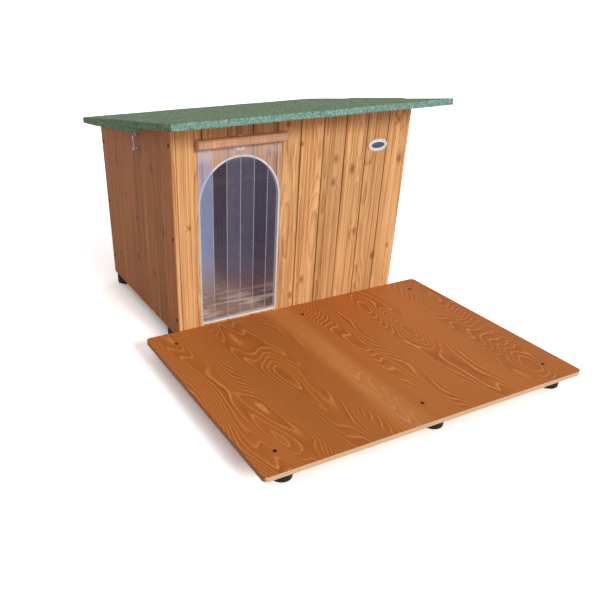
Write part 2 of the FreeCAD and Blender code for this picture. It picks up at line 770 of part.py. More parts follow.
def hinges(wall_drillings, roof_drillings):
    """Two butt hinges in the corner between the rear wall and the roof's overhang."""
    third = f"(hinge_length / {KNUCKLES})"
    bore = "hinge_pin_radius + hinge_pin_fit"
    wall_leaves = []
    roof_leaves = []
    pins = []
    for side, sign in SIDES:
        start = f"({sign}({HALF_WIDTH} - hinge_inset) - hinge_length / 2)"
        clear = rod(f"hinge_{side}_bore", bore, "hinge_length + 2 * tool_margin",
                    (f"({start} - tool_margin)", HINGE_Y, HINGE_Z), "X")
        knuckles = [
            rod(f"hinge_{side}_knuckle_{number}", "hinge_knuckle_radius", f"{third} - hinge_knuckle_gap",
                (f"({start} + {number} * {third} + hinge_knuckle_gap / 2)", HINGE_Y, HINGE_Z), "X")
            for number in range(KNUCKLES)
        ]
        plate = box(f"hinge_{side}_wall_plate", ("hinge_length", "hinge_leaf", "hinge_leaf_reach"),
                    (start, BACK, f"({HINGE_Z} - hinge_leaf_reach)"))
        web = box(f"hinge_{side}_wall_web", ("hinge_length", "hinge_knuckle_radius", "hinge_leaf"),
                  (start, BACK, f"({HINGE_Z} - hinge_leaf)"))
        slot = box(f"hinge_{side}_wall_slot", (f"{third} + hinge_knuckle_gap", "3 * hinge_knuckle_radius",
                                               "3 * hinge_knuckle_radius"),
                   (f"({start} + {third} - hinge_knuckle_gap / 2)", f"({BACK} - hinge_knuckle_radius)",
                    f"({HINGE_Z} - 1.6 * hinge_knuckle_radius)"))
        blank = fuse(f"hinge_{side}_wall_blank", plate, web, knuckles[0], knuckles[2])
        wall_leaves.append(cut(f"hinge_{side}_wall_leaf", blank, slot, clear, wall_drillings))

        # The roof leaf lies against the deck's underside and reaches back from the pin.
        along = "((house_depth + hinge_wall_gap + hinge_knuckle_radius) / cos(roof_slope))"
        flap = roof_box(f"hinge_{side}_roof_plate", ("hinge_length", "hinge_leaf_reach", "hinge_leaf"),
                        (start, along, "(wall_top_gap - hinge_leaf)"))
        neck = roof_box(f"hinge_{side}_roof_web",
                        (f"{third} - hinge_knuckle_gap", "hinge_leaf", "hinge_knuckle_radius + wall_top_gap"),
                        (f"({start} + {third} + hinge_knuckle_gap / 2)", along,
                         "(-hinge_knuckle_radius)"))
        relief = [
            rod(f"hinge_{side}_relief_{number}", "hinge_knuckle_radius + hinge_knuckle_gap",
                f"{third} + hinge_knuckle_gap",
                (f"({start} + {number} * {third} - hinge_knuckle_gap / 2)", HINGE_Y, HINGE_Z), "X")
            for number in (0, 2)
        ]
        blank = fuse(f"hinge_{side}_roof_blank", flap, neck, knuckles[1])
        roof_leaves.append(cut(f"hinge_{side}_roof_leaf", blank, *relief, clear, roof_drillings))
        pins.append(rod(f"hinge_{side}_pin", "hinge_pin_radius", "hinge_length",
                        (start, HINGE_Y, HINGE_Z), "X"))
    node(group("hinge_wall_leaves", wall_leaves))
    node(group("hinge_roof_leaves", roof_leaves))
    node(group("hinge_pins", pins))


# ---------------------------------------------------------------- hooks and eyes

def ring(label, centre, axis, angle):
    piece = doc.addObject("Part::Torus", label)
    bind(piece, "Radius1", "eye_ring_radius")
    bind(piece, "Radius2", "eye_wire_radius")
    locate(piece, centre, axis, angle)
    return piece


ROOF_EYE_ALONG = "(hook_depth / cos(roof_slope))"
RING_CENTRE = "(wall_top_gap - eye_drop)"


def hook_pivot(side, sign):
    """The hook's pin lies at the bottom of its eye, just clear of the wire."""
    _, y, z = on_roof("0", ROOF_EYE_ALONG, RING_CENTRE)
    sag = "(eye_ring_radius - eye_wire_radius - hook_wire_radius - hook_play)"
    return f"({sign}({HALF_WIDTH} + hook_offset))", y, f"({z} - {sag})"


def eyes():
    """Screw eyes: a long one up into the roof's overhang, a short one beside each hook's curl."""
    roof_eyes = []
    roof_drills = []
    wall_eyes = []
    wall_drills = []
    ring_top = f"({RING_CENTRE} + eye_ring_radius)"
    for side, sign in SIDES:
        x = f"({sign}({HALF_WIDTH} + eye_offset))"
        loop = ring(f"roof_eye_ring_{side}", on_roof(x, ROOF_EYE_ALONG, RING_CENTRE), "vector(0; 1; 0)", "90")
        reach = f"(wall_top_gap + eye_screw_length - {ring_top})"
        shank = rod(f"roof_eye_shank_{side}", "eye_wire_radius", reach,
                    on_roof(x, ROOF_EYE_ALONG, ring_top), sloped=True)
        roof_eyes.append(fuse(f"roof_eye_{side}", loop, shank))
        roof_drills.append(rod(f"roof_eye_drill_{side}", "eye_wire_radius + screw_drill_fit",
                               "eye_screw_length + screw_drill_fit",
                               on_roof(x, ROOF_EYE_ALONG, "wall_top_gap"), sloped=True))

        y = f"({FRONT} + hook_depth)"
        z = f"({hook_pivot(side, sign)[2]} - hook_length + wall_eye_rise)"
        loop = ring(f"wall_eye_ring_{side}", (f"({sign}({HALF_WIDTH} + wall_eye_reach))", y, z),
                    "vector(1; 0; 0)", "90")
        length = "(eye_screw_length + wall_eye_reach - eye_ring_radius)"
        inner = f"({HALF_WIDTH} - eye_screw_length)"
        start = f"(-({inner} + {length}))" if side == "left" else inner
        shank = rod(f"wall_eye_shank_{side}", "eye_wire_radius", length, (start, y, z), "X")
        wall_eyes.append(fuse(f"wall_eye_{side}", loop, shank))
        fit = "(eye_screw_length + screw_drill_fit)"
        drill_start = f"(-{HALF_WIDTH})" if side == "left" else f"({HALF_WIDTH} - {fit})"
        wall_drills.append(rod(f"wall_eye_drill_{side}", "eye_wire_radius + screw_drill_fit", fit,
                               (drill_start, y, z), "X"))
    node(group("roof_eyes", roof_eyes))
    node(group("wall_eyes", wall_eyes))
    return group("roof_eye_drillings", roof_drills), group("wall_eye_drillings", wall_drills)


def hooks():
    """A bent-wire hook hangs in each roof eye, its curl just outside the wall eye."""
    for side, sign in SIDES:
        x, y, z = hook_pivot(side, sign)
        inward = "(hook_offset - eye_offset + eye_wire_radius + hook_pin_end)"
        pin_start = x if side == "left" else f"({x} - {inward})"
        pin = rod(f"hook_{side}_pin", "hook_wire_radius", inward, (pin_start, y, z), "X")
        head_at = f"({x} + {inward} - hook_pin_head)" if side == "left" else f"({x} - {inward})"
        head = rod(f"hook_{side}_head", "hook_wire_radius + hook_pin_head", "hook_pin_head",
                   (head_at, y, z), "X")
        knee = ball(f"hook_{side}_knee", "hook_wire_radius", (x, y, z))
        arm = rod(f"hook_{side}_arm", "hook_wire_radius", "hook_length", (x, y, f"({z} - hook_length)"))
        sleeve = rod(f"hook_{side}_sleeve", "hook_sleeve_radius", "hook_sleeve_length",
                     (x, y, f"({z} - 2 * hook_wire_radius - hook_sleeve_length)"))
        curl = doc.addObject("Part::Torus", f"hook_{side}_curl")
        bind(curl, "Radius1", "hook_curl_radius")
        bind(curl, "Radius2", "hook_wire_radius")
        curl.Angle3 = 180
        bind(curl, "Placement",
             f"placement(vector({x}; {y} + hook_curl_radius; {z} - hook_length);"
             " rotation(vector(0; 1; 0); 90) * rotation(vector(0; 0; 1); -90))")
        tip = ball(f"hook_{side}_tip", "hook_wire_radius",
                   (x, f"({y} + 2 * hook_curl_radius)", f"({z} - hook_length)"))
        node(fuse(f"hook_{side}", pin, head, knee, arm, sleeve, curl, tip))


# ---------------------------------------------------------------- terrace

def platform():
    """A plywood terrace against the house front, on two bearers and six feet."""
    left = "(-platform_width / 2)"
    front = f"({FRONT} - platform_depth)"
    z = f"({PLATFORM_TOP} - platform_thickness)"
    rows = {"front": f"({front} + platform_row_front)", "rear": f"({FRONT} - platform_row_rear)"}
    screw_rows = (f"({front} + platform_screw_front)", rows["rear"])
    screws = Screws("platform_screws", "screw_head_radius", "screw_head_height",
                    "screw_shank_radius", "screw_length")
    edge = "(platform_width / 2 - platform_screw_side)"
    for y in screw_rows:
        for x in (f"(-{edge})", "0", edge):
            screws.add((x, y, PLATFORM_TOP), "Z", "-")
    drillings = screws.finish()

    long_part = box("platform_long", ("platform_width - 2 * platform_corner", "platform_depth",
                                      "platform_thickness"), (f"({left} + platform_corner)", front, z))
    deep_part = box("platform_deep", ("platform_width", "platform_depth - 2 * platform_corner",
                                      "platform_thickness"), (left, f"({front} + platform_corner)", z))
    corners = [
        rod(f"platform_corner_{number}", "platform_corner", "platform_thickness", (x, y, z))
        for number, (x, y) in enumerate(
            (x, y)
            for x in (f"({left} + platform_corner)", f"(-{left} - platform_corner)")
            for y in (f"({front} + platform_corner)", f"({FRONT} - platform_corner)"))
    ]
    node(cut("platform_board", fuse("platform_blank", long_part, deep_part, *corners), drillings))

    foot_drillings = feet("platform_feet", [
        (x, y)
        for y in (f"({front} + platform_foot_front)", rows["rear"])
        for x in (f"({left} + platform_foot_left)", "platform_foot_shift",
                  f"(-{left} - platform_foot_right)")
    ])
    for name, y in rows.items():
        bearer = box(f"platform_bearer_{name}_blank",
                     ("platform_bearer_length", "platform_bearer_width", "platform_bearer_height"),
                     ("(-platform_bearer_length / 2)", f"({y} - platform_bearer_width / 2)", "foot_height"))
        node(cut(f"platform_bearer_{name}", bearer, drillings, foot_drillings))


# ---------------------------------------------------------------- whole

def build():
    fill_sheet()
    roof_plane = roof_plane_cutter()
    corner_drillings = corner_screws()
    batten_drillings = batten_screws()
    roof_eye_drillings, wall_eye_drillings = eyes()
    hinge_wall_drillings, hinge_roof_drillings = hinge_screws()
    walls(roof_plane, corner_drillings, batten_drillings, wall_eye_drillings, hinge_wall_drillings)
    wall_frame(roof_plane, corner_drillings)
    floor()
    door_trim()
    round_vent()
    curtain(batten_drillings)
    oval_plate()
    roof(roof_eye_drillings, hinge_roof_drillings)
    hinges(hinge_wall_drillings, hinge_roof_drillings)
    hooks()
    platform()
    doc.recompute()


def check_and_write():
    for thing in doc.Objects:
        if "Invalid" in thing.State or "Error" in thing.State:
            raise RuntimeError(f"{thing.Label} did not compute: {thing.State}")
    os.makedirs("parts", exist_ok=True)
    for piece in nodes:
        if piece.Shape.isNull() or not piece.Shape.isValid() or not piece.Shape.Solids:
            raise RuntimeError(f"{piece.Label} has no valid solid")
        piece.Shape.exportStep(os.path.join("parts", f"{piece.Label}.step"))
        bounds = piece.Shape.BoundBox
        print(f"{piece.Label:28s} solids {len(piece.Shape.Solids):3d}  "
              f"x {bounds.XMin:8.1f} {bounds.XMax:8.1f}  y {bounds.YMin:8.1f} {bounds.YMax:8.1f}  "
              f"z {bounds.ZMin:7.1f} {bounds.ZMax:7.1f}")
    print(len(nodes), "nodes")


build()
check_and_write()
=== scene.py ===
# %% [markdown]
# # A timber kennel and its terrace
#
# The model is already built to size, board by board. This lesson gives it its looks: glazed pine
# boards, mineral roofing felt, clear vinyl strips, oiled plywood and small black and bright fittings.
# Everything is in metres. X runs along the front, Y from the front to the back and Z up.

# %% Load the model
import math

import bmesh
import bpy
from mathutils import Matrix, Vector


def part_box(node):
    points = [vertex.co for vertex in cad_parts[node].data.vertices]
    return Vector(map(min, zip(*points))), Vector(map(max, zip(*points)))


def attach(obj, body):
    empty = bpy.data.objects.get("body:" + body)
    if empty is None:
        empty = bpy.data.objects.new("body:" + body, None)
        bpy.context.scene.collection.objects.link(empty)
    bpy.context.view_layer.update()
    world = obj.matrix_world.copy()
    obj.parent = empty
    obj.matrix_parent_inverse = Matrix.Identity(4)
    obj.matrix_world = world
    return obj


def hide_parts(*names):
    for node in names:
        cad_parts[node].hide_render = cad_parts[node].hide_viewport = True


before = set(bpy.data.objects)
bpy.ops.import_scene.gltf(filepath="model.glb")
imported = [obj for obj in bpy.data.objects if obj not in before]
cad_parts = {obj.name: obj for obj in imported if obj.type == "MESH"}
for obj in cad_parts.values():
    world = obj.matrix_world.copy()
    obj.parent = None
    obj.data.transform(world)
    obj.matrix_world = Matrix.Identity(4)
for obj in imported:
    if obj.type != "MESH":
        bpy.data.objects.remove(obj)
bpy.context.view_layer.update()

scene = bpy.context.scene

# %% [markdown]
# ## The places that the rest is measured from
#
# Sizes could be typed in again, but then they would drift away from the model. It is safer to ask the
# model: the front wall's face, the top of the side walls and the doorway are read from its pieces.

# %% Driving places
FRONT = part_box("front_boards")[0].y
WALL_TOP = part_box("left_boards")[1].z
HOUSE_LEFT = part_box("left_boards")[0].x
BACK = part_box("rear_boards")[1].y
BOARD = 0.115
BOARD_THICK = 0.017
FIRST_JOINT = HOUSE_LEFT + BOARD_THICK
DOOR_LOW, DOOR_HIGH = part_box("door_trim")
DOOR_X = (DOOR_LOW.x + DOOR_HIGH.x) / 2
STRIP_COUNT = 6
print(f"front face at y {FRONT:.4f}, side walls up to {WALL_TOP:.3f}, door at x {DOOR_X:.3f}")

# %% [markdown]
# ## The camera
#
# The picture was taken from the front left, a little above the roof, with a long room lens. The
# camera's place and turn came from matching board joints and corners. It could be aimed with a
# constraint, but three angles written out are easier to check. The shift frames the picture.

# %% Camera
CAMERA_PLACE = Vector((-1.5819, -2.4208, 1.4772))
CAMERA_YAW, CAMERA_PITCH, CAMERA_ROLL = 0.49175, 0.57712, 0.01068
CAMERA_LENS, SENSOR = 39.703, 36.0
CAMERA_SHIFT = (0.09445, 0.16010)
CAMERA_REACH = 200


def aimed(place, forward, roll=0.0):
    """The matrix of a camera or lamp at a place, looking forward with Z up."""
    right = forward.cross(Vector((0, 0, 1))).normalized()
    up = right.cross(forward)
    turned_right = right * math.cos(roll) + up * math.sin(roll)
    turned_up = up * math.cos(roll) - right * math.sin(roll)
    turn = Matrix((turned_right, turned_up, -forward)).transposed().to_4x4()
    return Matrix.Translation(place) @ turn


camera = bpy.data.objects.new("camera", bpy.data.cameras.new("camera"))
scene.collection.objects.link(camera)
scene.camera = camera
camera.data.lens, camera.data.sensor_width = CAMERA_LENS, SENSOR
camera.data.shift_x, camera.data.shift_y = CAMERA_SHIFT
camera.data.clip_end = CAMERA_REACH
gaze = Vector((
    math.sin(CAMERA_YAW) * math.cos(CAMERA_PITCH),
    math.cos(CAMERA_YAW) * math.cos(CAMERA_PITCH),
    -math.sin(CAMERA_PITCH),
))
camera.matrix_world = aimed(CAMERA_PLACE, gaze, CAMERA_ROLL)
scene.view_settings.view_transform = "Standard"
print("camera looks along", tuple(round(v, 3) for v in gaze))

# %% [markdown]
# ## Writing finishes as sums
#
# A procedural finish is a web of small nodes. Wiring each by hand hides what it works out, so one
# small class wraps a socket: adding or multiplying two of them adds the Math node that does it.
# Colours and vectors have their own nodes, because a Math node would turn a colour grey.

# %% A socket that can be reckoned with
class Value:
    """One output of a finish. Arithmetic on it adds Math nodes."""

    def __init__(self, finish, socket):
        self.finish = finish
        self.socket = socket

    def math(self, operation, *terms):
        return self.finish.node("ShaderNodeMath", {"operation": operation}, dict(enumerate(terms)))

    def __add__(self, other):
        return self.math("ADD", self, other)

    def __radd__(self, other):
        return self.math("ADD", other, self)

    def __sub__(self, other):
        return self.math("SUBTRACT", self, other)

    def __rsub__(self, other):
        return self.math("SUBTRACT", other, self)

    def __mul__(self, other):
        return self.math("MULTIPLY", self, other)

    def __rmul__(self, other):
        return self.math("MULTIPLY", other, self)

    def __truediv__(self, other):
        return self.math("DIVIDE", self, other)

    def __pow__(self, other):
        return self.math("POWER", self, other)

    def floor(self):
        return self.math("FLOOR", self)

    def fraction(self):
        return self.math("FRACT", self)

    def size(self):
        return self.math("ABSOLUTE", self)

    def root(self):
        return self.math("SQRT", self)

    def exponential(self):
        return self.math("EXPONENT", self)

    def least(self, other):
        return self.math("MINIMUM", self, other)

    def over(self, low, high, start=0.0, end=1.0):
        """A smooth step: start at low, end at high."""
        settings = {"interpolation_type": "SMOOTHSTEP"}
        return self.finish.node("ShaderNodeMapRange", settings, {0: self, 1: low, 2: high, 3: start, 4: end})


print("a socket can be added, subtracted, multiplied, divided and raised to a power")

# %% [markdown]
# ## A finish under construction
#
# Every material here is made the same way, so one class holds it: the node tree, the point on the
# piece that patterns are measured from, and one method that adds any node. Colours are written as a
# painter's chart gives them, and turned into the linear light that the shader works in.

# %% A finish and its nodes
def shade(red, green, blue):
    """A colour as a painter's chart gives it, 0 to 255, turned into linear light."""
    def linear(level):
        level /= 255
        return level / 12.92 if level <= 0.04045 else ((level + 0.055) / 1.055) ** 2.4
    return (linear(red), linear(green), linear(blue), 1.0)


class Finish:
    """A material under construction, with the record's slot that it belongs to."""

    def __init__(self, name, slot, **constants):
        self.slot = slot
        self.material = bpy.data.materials.new(name)
        self.material.use_nodes = True
        self.tree = self.material.node_tree
        self.shader = self.tree.nodes["Principled BSDF"]
        for socket, number in constants.items():
            self.shader.inputs[socket.replace("_", " ")].default_value = number
        self.point = self.node("ShaderNodeTexCoord", output="Object")
        self.x, self.y, self.z = (
            self.node("ShaderNodeSeparateXYZ", {}, {0: self.point}, axis) for axis in range(3)
        )

    def node(self, kind, settings=(), inputs=(), output=0):
        """Any node: its settings are set first, then its sockets are given values or links."""
        made = self.tree.nodes.new(kind)
        for name, setting in dict(settings).items():
            if name == "stops":
                self.ramp_stops(made.color_ramp.elements, setting)
            elif name == "steps":
                made.color_ramp.interpolation = setting
            else:
                setattr(made, name, setting)
        for socket, value in dict(inputs).items():
            self.feed(made.inputs[socket], value)
        return Value(self, made.outputs[output])

    def ramp_stops(self, elements, stops):
        while len(elements) < len(stops):
            elements.new(1.0)
        for element, (place, colour) in zip(elements, stops):
            element.position = place
            element.color = colour

    def feed(self, socket, value):
        if isinstance(value, Value):
            self.tree.links.new(value.socket, socket)
        else:
            socket.default_value = value

    def shaped(self, **values):
        """Feeds the shader's own sockets."""
        for socket, value in values.items():
            self.feed(self.shader.inputs[socket.replace("_", " ")], value)

    def blend(self, mask, first, second):
        return self.node("ShaderNodeMix", {"data_type": "RGBA"}, {0: mask, 6: first, 7: second}, 2)

    def scaled(self, colour, amount):
        return self.node("ShaderNodeVectorMath", {"operation": "SCALE"}, {0: colour, "Scale": amount})

    def stretched(self, across, depth, along):
        """The point with each axis multiplied, so that a noise can be drawn out along the grain."""
        settings = {"operation": "MULTIPLY"}
        return self.node("ShaderNodeVectorMath", settings, {0: self.point, 1: (across, depth, along)})

    def noise(self, vector, scale=1.0, detail=2.0, roughness=0.5):
        sockets = {"Vector": vector, "Scale": scale, "Detail": detail, "Roughness": roughness}
        return self.node("ShaderNodeTexNoise", {}, sockets)

    def facing(self, axis):
        """How far the surface faces along an axis, from -1 to 1."""
        normal = self.node("ShaderNodeTexCoord", output="Normal")
        return self.node("ShaderNodeSeparateXYZ", {}, {0: normal}, axis)

    def drift(self, along, scale):
        """A slow noise along one line."""
        return self.node("ShaderNodeTexNoise", {"noise_dimensions": "1D"}, {"W": along, "Scale": scale})

    def chance(self, number, salt):
        """A steady random number for each whole number."""
        return self.node("ShaderNodeTexWhiteNoise", {"noise_dimensions": "1D"}, {"W": number + salt})

    def bump(self, height, distance, strength=1.0):
        sockets = {"Height": height, "Distance": distance, "Strength": strength}
        self.feed(self.shader.inputs["Normal"], self.node("ShaderNodeBump", {}, sockets))


print("finishes are written as sums of sockets")

# %% [markdown]
# ## Glazed pine boards
#
# A flat-sawn board cuts the tree's rings at a slant, which draws long nested arches. They could be
# painted, but they come out right by themselves if the rings are worked out: the distance from a
# heart line that runs a few centimetres behind the face and wanders along the board. Each board
# gets its own heart and tone from its number. Rings flow round knots, which sit at chosen places.

# %% Rings and knots
RING_SPACING = 0.0085
RING_WOBBLE = 0.010
HEART_DEPTH, HEART_SPREAD, HEART_WANDER = 0.010, 0.050, 0.055
HEART_SIDE, SIDE_WANDER = 0.09, 0.03
KNOT_PULL = 0.0204
KNOT_REACH = 2.6
KNOT_LENGTH = 0.6


def knotted(finish, plane, knots):
    """The distance to the nearest knot, in that knot's own radii."""
    nearest = None
    stretched = {"X": (1, 0, KNOT_LENGTH), "Y": (0, 1, KNOT_LENGTH)}[plane]
    spot = finish.stretched(*stretched)
    for across, along, radius in knots:
        centre = {"X": (across, 0, along * KNOT_LENGTH), "Y": (0, across, along * KNOT_LENGTH)}[plane]
        away = finish.node("ShaderNodeVectorMath", {"operation": "DISTANCE"}, {0: spot, 1: centre}, "Value")
        away = away / radius
        nearest = away if nearest is None else nearest.least(away)
    return nearest


def board_rings(finish, local, along, chances, plane, knots):
    """The late wood of each ring, and the masks of the knots and of their rims."""
    first, second, third = chances
    wander = finish.drift(along + first * 40, 1.6) - 0.5
    heart = HEART_DEPTH + second * HEART_SPREAD + wander * HEART_WANDER
    side = (third - 0.5) * HEART_SIDE + (finish.drift(along + second * 70, 1.2) - 0.5) * SIDE_WANDER
    wobble = (finish.noise(finish.stretched(30, 30, 4), detail=3) - 0.5) * RING_WOBBLE
    slant = local - side
    distance = (slant * slant + heart * heart).root() + wobble
    knot_mask, knot_rim = 0.0, 0.0
    if knots:
        away = knotted(finish, plane, knots)
        pull = (away / KNOT_REACH) ** 2.0
        distance = distance + (pull * -1.0).exponential() * KNOT_PULL
        away = away + (finish.noise(finish.stretched(140, 140, 110)) - 0.5) * 0.7
        knot_mask = away.over(1.1, 0.6)
        knot_rim = away.over(1.9, 1.0) * (1 - knot_mask)
    rings = (distance / RING_SPACING).fraction()
    return (rings ** 2.2) * rings.over(1.0, 0.9), knot_mask, knot_rim


print("rings every", RING_SPACING * 1000, "mm")

# %% [markdown]
# ### A row of boards
#
# Rings alone look like a diagram. Fine fibres, longer streaks and cloudy stain are laid over them, and
# a line of the joint colour is drawn where two boards meet: dark on most rows, but lighter than the
# boards on the brown walls, as painted light that fills the shade of the grooves. One row of boards is
# one piece of the model, so a board is told from its neighbour by counting board widths from the first
# joint.

# %% A row of boards
JOINT_SHADE, JOINT_DARK = 0.0042, 0.0012


def pine(name, slot, across, plane, pitch, colours, knots=(), salt=0.0, contrast=1.0, along=None,
         lit_front_colours=None):
    """A row of flat-sawn boards: across measures over the boards, and the grain runs along Z."""
    light, dark, knot_colour, joint_colour = colours
    finish = Finish(name, slot, Specular_IOR_Level=0.18)
    across = across(finish)
    along = finish.z if along is None else along(finish)
    number = (across / pitch).floor()
    local = across - (number + 0.5) * pitch
    chances = [finish.chance(number, salt + 10.3 * n) for n in range(3)]
    late, knot_mask, knot_rim = board_rings(finish, local, along, chances, plane, knots)

    fibres = finish.noise(finish.stretched(420, 420, 7), detail=2)
    streaks = finish.noise(finish.stretched(60, 60, 1.6), detail=3)
    mottle = finish.noise(finish.stretched(9, 9, 3), detail=2)
    bands = finish.noise(finish.stretched(95, 95, 1.1), detail=2)
    figure = late * (0.6 * contrast) + streaks.over(0.42, 0.68) * (0.35 * contrast)
    figure = figure + bands.over(0.45, 0.62) * (0.3 * contrast)
    colour = finish.blend(figure + (fibres - 0.5) * 0.4, light, dark)
    smear = finish.noise(finish.stretched(34, 34, 6), detail=2).over(0.60, 0.72)
    colour = finish.blend(smear * (0.4 * contrast), colour, light)
    if knots:
        colour = finish.blend(knot_rim * 0.45, colour, dark)
        colour = finish.blend(knot_mask * (0.45 + streaks * 0.5), colour, knot_colour)
    tone = 0.82 + smear * (0.12 * contrast) + chances[2] * 0.18
    tone = tone + (fibres - 0.5) * 0.24 + (mottle - 0.5) * 0.4
    colour = finish.scaled(colour, tone)
    # On the brown walls the joint colour is lighter than the boards: painted light in the grooves' shade.
    joint = local.size().over(pitch / 2 - JOINT_SHADE, pitch / 2 - JOINT_DARK)
    colour = finish.blend(joint * 0.7, colour, joint_colour)
    # Painted light and shade: a side board's faces that look to the front take the front's lit colours, so
    # the brown on its other faces is partly painted shade.
    if lit_front_colours:
        forward = finish.facing(1).over(-0.5, -0.9)
        end = finish.scaled(finish.blend(streaks.over(0.4, 0.7), *lit_front_colours), 0.85 + fibres * 0.3)
        colour = finish.blend(forward, colour, end)
    finish.shaped(Base_Color=colour, Roughness=0.52 - late * 0.1 + (fibres - 0.5) * 0.2)
    finish.bump(late * 0.5 + fibres * 0.6 + knot_mask * 0.4, 0.0006)
    return finish


print("a row of boards is ready to be glazed")

# %% [markdown]
# ### The walls
#
# Chance makes good grain, but a knot in the wrong place is noticed at once. So the knots of the front
# and of the left wall stand where the real ones do, as (across, height, radius), and the others are
# spread as listed. The front is glazed in honey. The other walls are brown: partly a darker glaze and
# partly painted shade. Where their boards face the front, they take the front's honey.

# %% The four walls
FRONT_KNOTS = (
    (0.193, 0.767, 0.010), (0.188, 0.665, 0.009), (0.285, 0.711, 0.013), (0.519, 0.904, 0.008),
    (0.549, 0.733, 0.012), (0.013, 0.846, 0.006), (-0.058, 0.932, 0.008), (-0.150, 0.827, 0.009),
    (0.048, 0.226, 0.010), (-0.012, 0.157, 0.009), (0.545, 0.314, 0.007), (0.458, 0.277, 0.011),
    (0.330, 0.420, 0.010), (-0.520, 0.560, 0.006),
)
SIDE_KNOTS = (
    (0.281, 0.757, 0.012), (0.176, 0.512, 0.014), (0.754, 0.694, 0.010), (0.517, 0.482, 0.009),
    (0.532, 0.286, 0.012), (0.318, 0.270, 0.010), (0.818, 0.203, 0.009), (0.401, 0.805, 0.007),
    (0.188, 0.200, 0.008), (0.640, 0.560, 0.008),
)
REAR_KNOTS = (
    (-0.420, 0.640, 0.011), (-0.250, 0.310, 0.010), (-0.060, 0.700, 0.009), (0.130, 0.450, 0.012),
    (0.300, 0.180, 0.009), (0.470, 0.580, 0.011), (0.020, 0.240, 0.010),
)
HONEY = (shade(232, 182, 126), shade(176, 108, 54), shade(140, 78, 38), shade(104, 56, 28))
# Wall brown: partly a darker glaze, partly painted shade of the walls that turn away from the key lamp.
BROWN_GLAZE_AND_SHADE = (shade(186, 112, 60), shade(136, 74, 34), shade(106, 58, 28), shade(172, 104, 58))

front_pine = pine("front_pine", "front_pine", lambda f: f.x - FIRST_JOINT, "X", BOARD, HONEY, FRONT_KNOTS)
side_pine = pine("side_pine", "wall_pine", lambda f: f.y - FRONT, "Y", BOARD, BROWN_GLAZE_AND_SHADE, SIDE_KNOTS, 5.0, 0.8,
                 lit_front_colours=HONEY[:2])
rear_pine = pine("rear_pine", "wall_pine", lambda f: -FIRST_JOINT - f.x, "X", BOARD, BROWN_GLAZE_AND_SHADE, REAR_KNOTS,
                 9.0, 0.8)
print("three rows of boards, with", len(FRONT_KNOTS) + len(SIDE_KNOTS) + len(REAR_KNOTS), "knots")

# %% [markdown]
# ## Planed pine of the frame
#
# Posts, rails and bearers are cut along the grain, so each needs the rings drawn out along its own
# length. The same boards' finish does it, with another axis taken as the grain.

# %% Frame pine
PLAIN = (shade(224, 192, 150), shade(196, 154, 106), shade(150, 100, 62), shade(150, 112, 76))
BATTEN = (shade(230, 182, 146), shade(200, 146, 110), shade(140, 84, 54), shade(176, 118, 80))
upright_pine = pine("upright_pine", "frame_pine", lambda f: f.x + f.y, "X", 0.4, PLAIN, salt=2.0)
cross_pine = pine("cross_pine", "frame_pine", lambda f: f.y + f.z, "X", 0.4, PLAIN, salt=3.0,
                  along=lambda f: f.x)
deep_pine = pine("deep_pine", "frame_pine", lambda f: f.x - FIRST_JOINT, "X", 0.1267, PLAIN, salt=4.0,
                 along=lambda f: f.y)
batten_pine = pine("batten_pine", "front_pine", lambda f: f.z + f.y * 0.3, "X", 0.4, BATTEN, salt=6.0,
                   along=lambda f: f.x)
print("frame pine in three directions, and the batten's")

# %% [markdown]
# ## Oiled plywood
#
# The top veneer was peeled off a turning log, so its grain is not arches but contour lines: long
# islands and bays, like a map of low hills. Slicing a smooth noise at even heights draws just that.
# On the cut edges the plies show as pale and tan layers.

# %% Plywood
PLY = 0.0062
CONTOUR_LINES, CONTOUR_TILT = 34, 60
BAND_WIDE, BAND_CORE = 0.10, 0.02


def veneer(name, colours, band_at, edge_colours, depth=1.0):
    """Rotary-cut veneer with its grain along Y, and plies on the edges."""
    ground, line, bright = colours
    finish = Finish(name, "plywood", Specular_IOR_Level=0.10)
    hills = finish.noise(finish.stretched(5.2, 1.4, 1), detail=1.5, roughness=0.35)
    tremble = finish.noise(finish.stretched(22, 5, 1), detail=2) * 0.02
    wiggle = finish.noise(finish.stretched(120, 26, 1), detail=1) * 0.003
    contour = ((hills + tremble + wiggle) * CONTOUR_LINES + finish.x * CONTOUR_TILT).fraction()
    late = (contour ** 2.0) * contour.over(1.0, 0.86)
    early = contour.over(0.28, 0.05) * contour.over(0.0, 0.04)
    pores = finish.noise(finish.stretched(700, 18, 1), detail=2)
    cloud = finish.noise(finish.stretched(3.2, 0.8, 1), detail=3)
    cloud_fine = finish.noise(finish.stretched(9, 2.2, 1), detail=3)
    band = (finish.x - band_at + (cloud - 0.5) * 0.16).size().over(BAND_WIDE, BAND_CORE)
    fade = 0.35 + cloud_fine.over(0.35, 0.65) * 0.65
    colour = finish.blend(late * fade * (0.6 * depth), ground, line)
    colour = finish.blend(early * fade * (0.6 * depth), colour, bright)
    colour = finish.blend(band * 0.36 * (0.3 + cloud_fine), colour, bright)
    colour = finish.scaled(colour, 0.98 + (cloud - 0.5) * 0.45 + (pores - 0.5) * 0.2)
    up = finish.facing(2).size().over(0.3, 0.7)
    sideways = finish.facing(0).size()
    ply = (finish.z / PLY + 0.35).fraction()
    plies = finish.blend(ply.over(0.56, 0.64) * ply.over(0.98, 0.92), *edge_colours)
    plies = finish.blend(sideways.over(0.5, 0.8) * 0.75, plies, line)
    plies = finish.scaled(plies, 0.94 + cloud * 0.12)
    colour = finish.blend(up, plies, colour)
    finish.shaped(Base_Color=colour, Roughness=0.58 - late * 0.08 + (pores - 0.5) * 0.15)
    finish.bump((late * 0.4 + pores * 0.5) * up, 0.0004)
    return finish


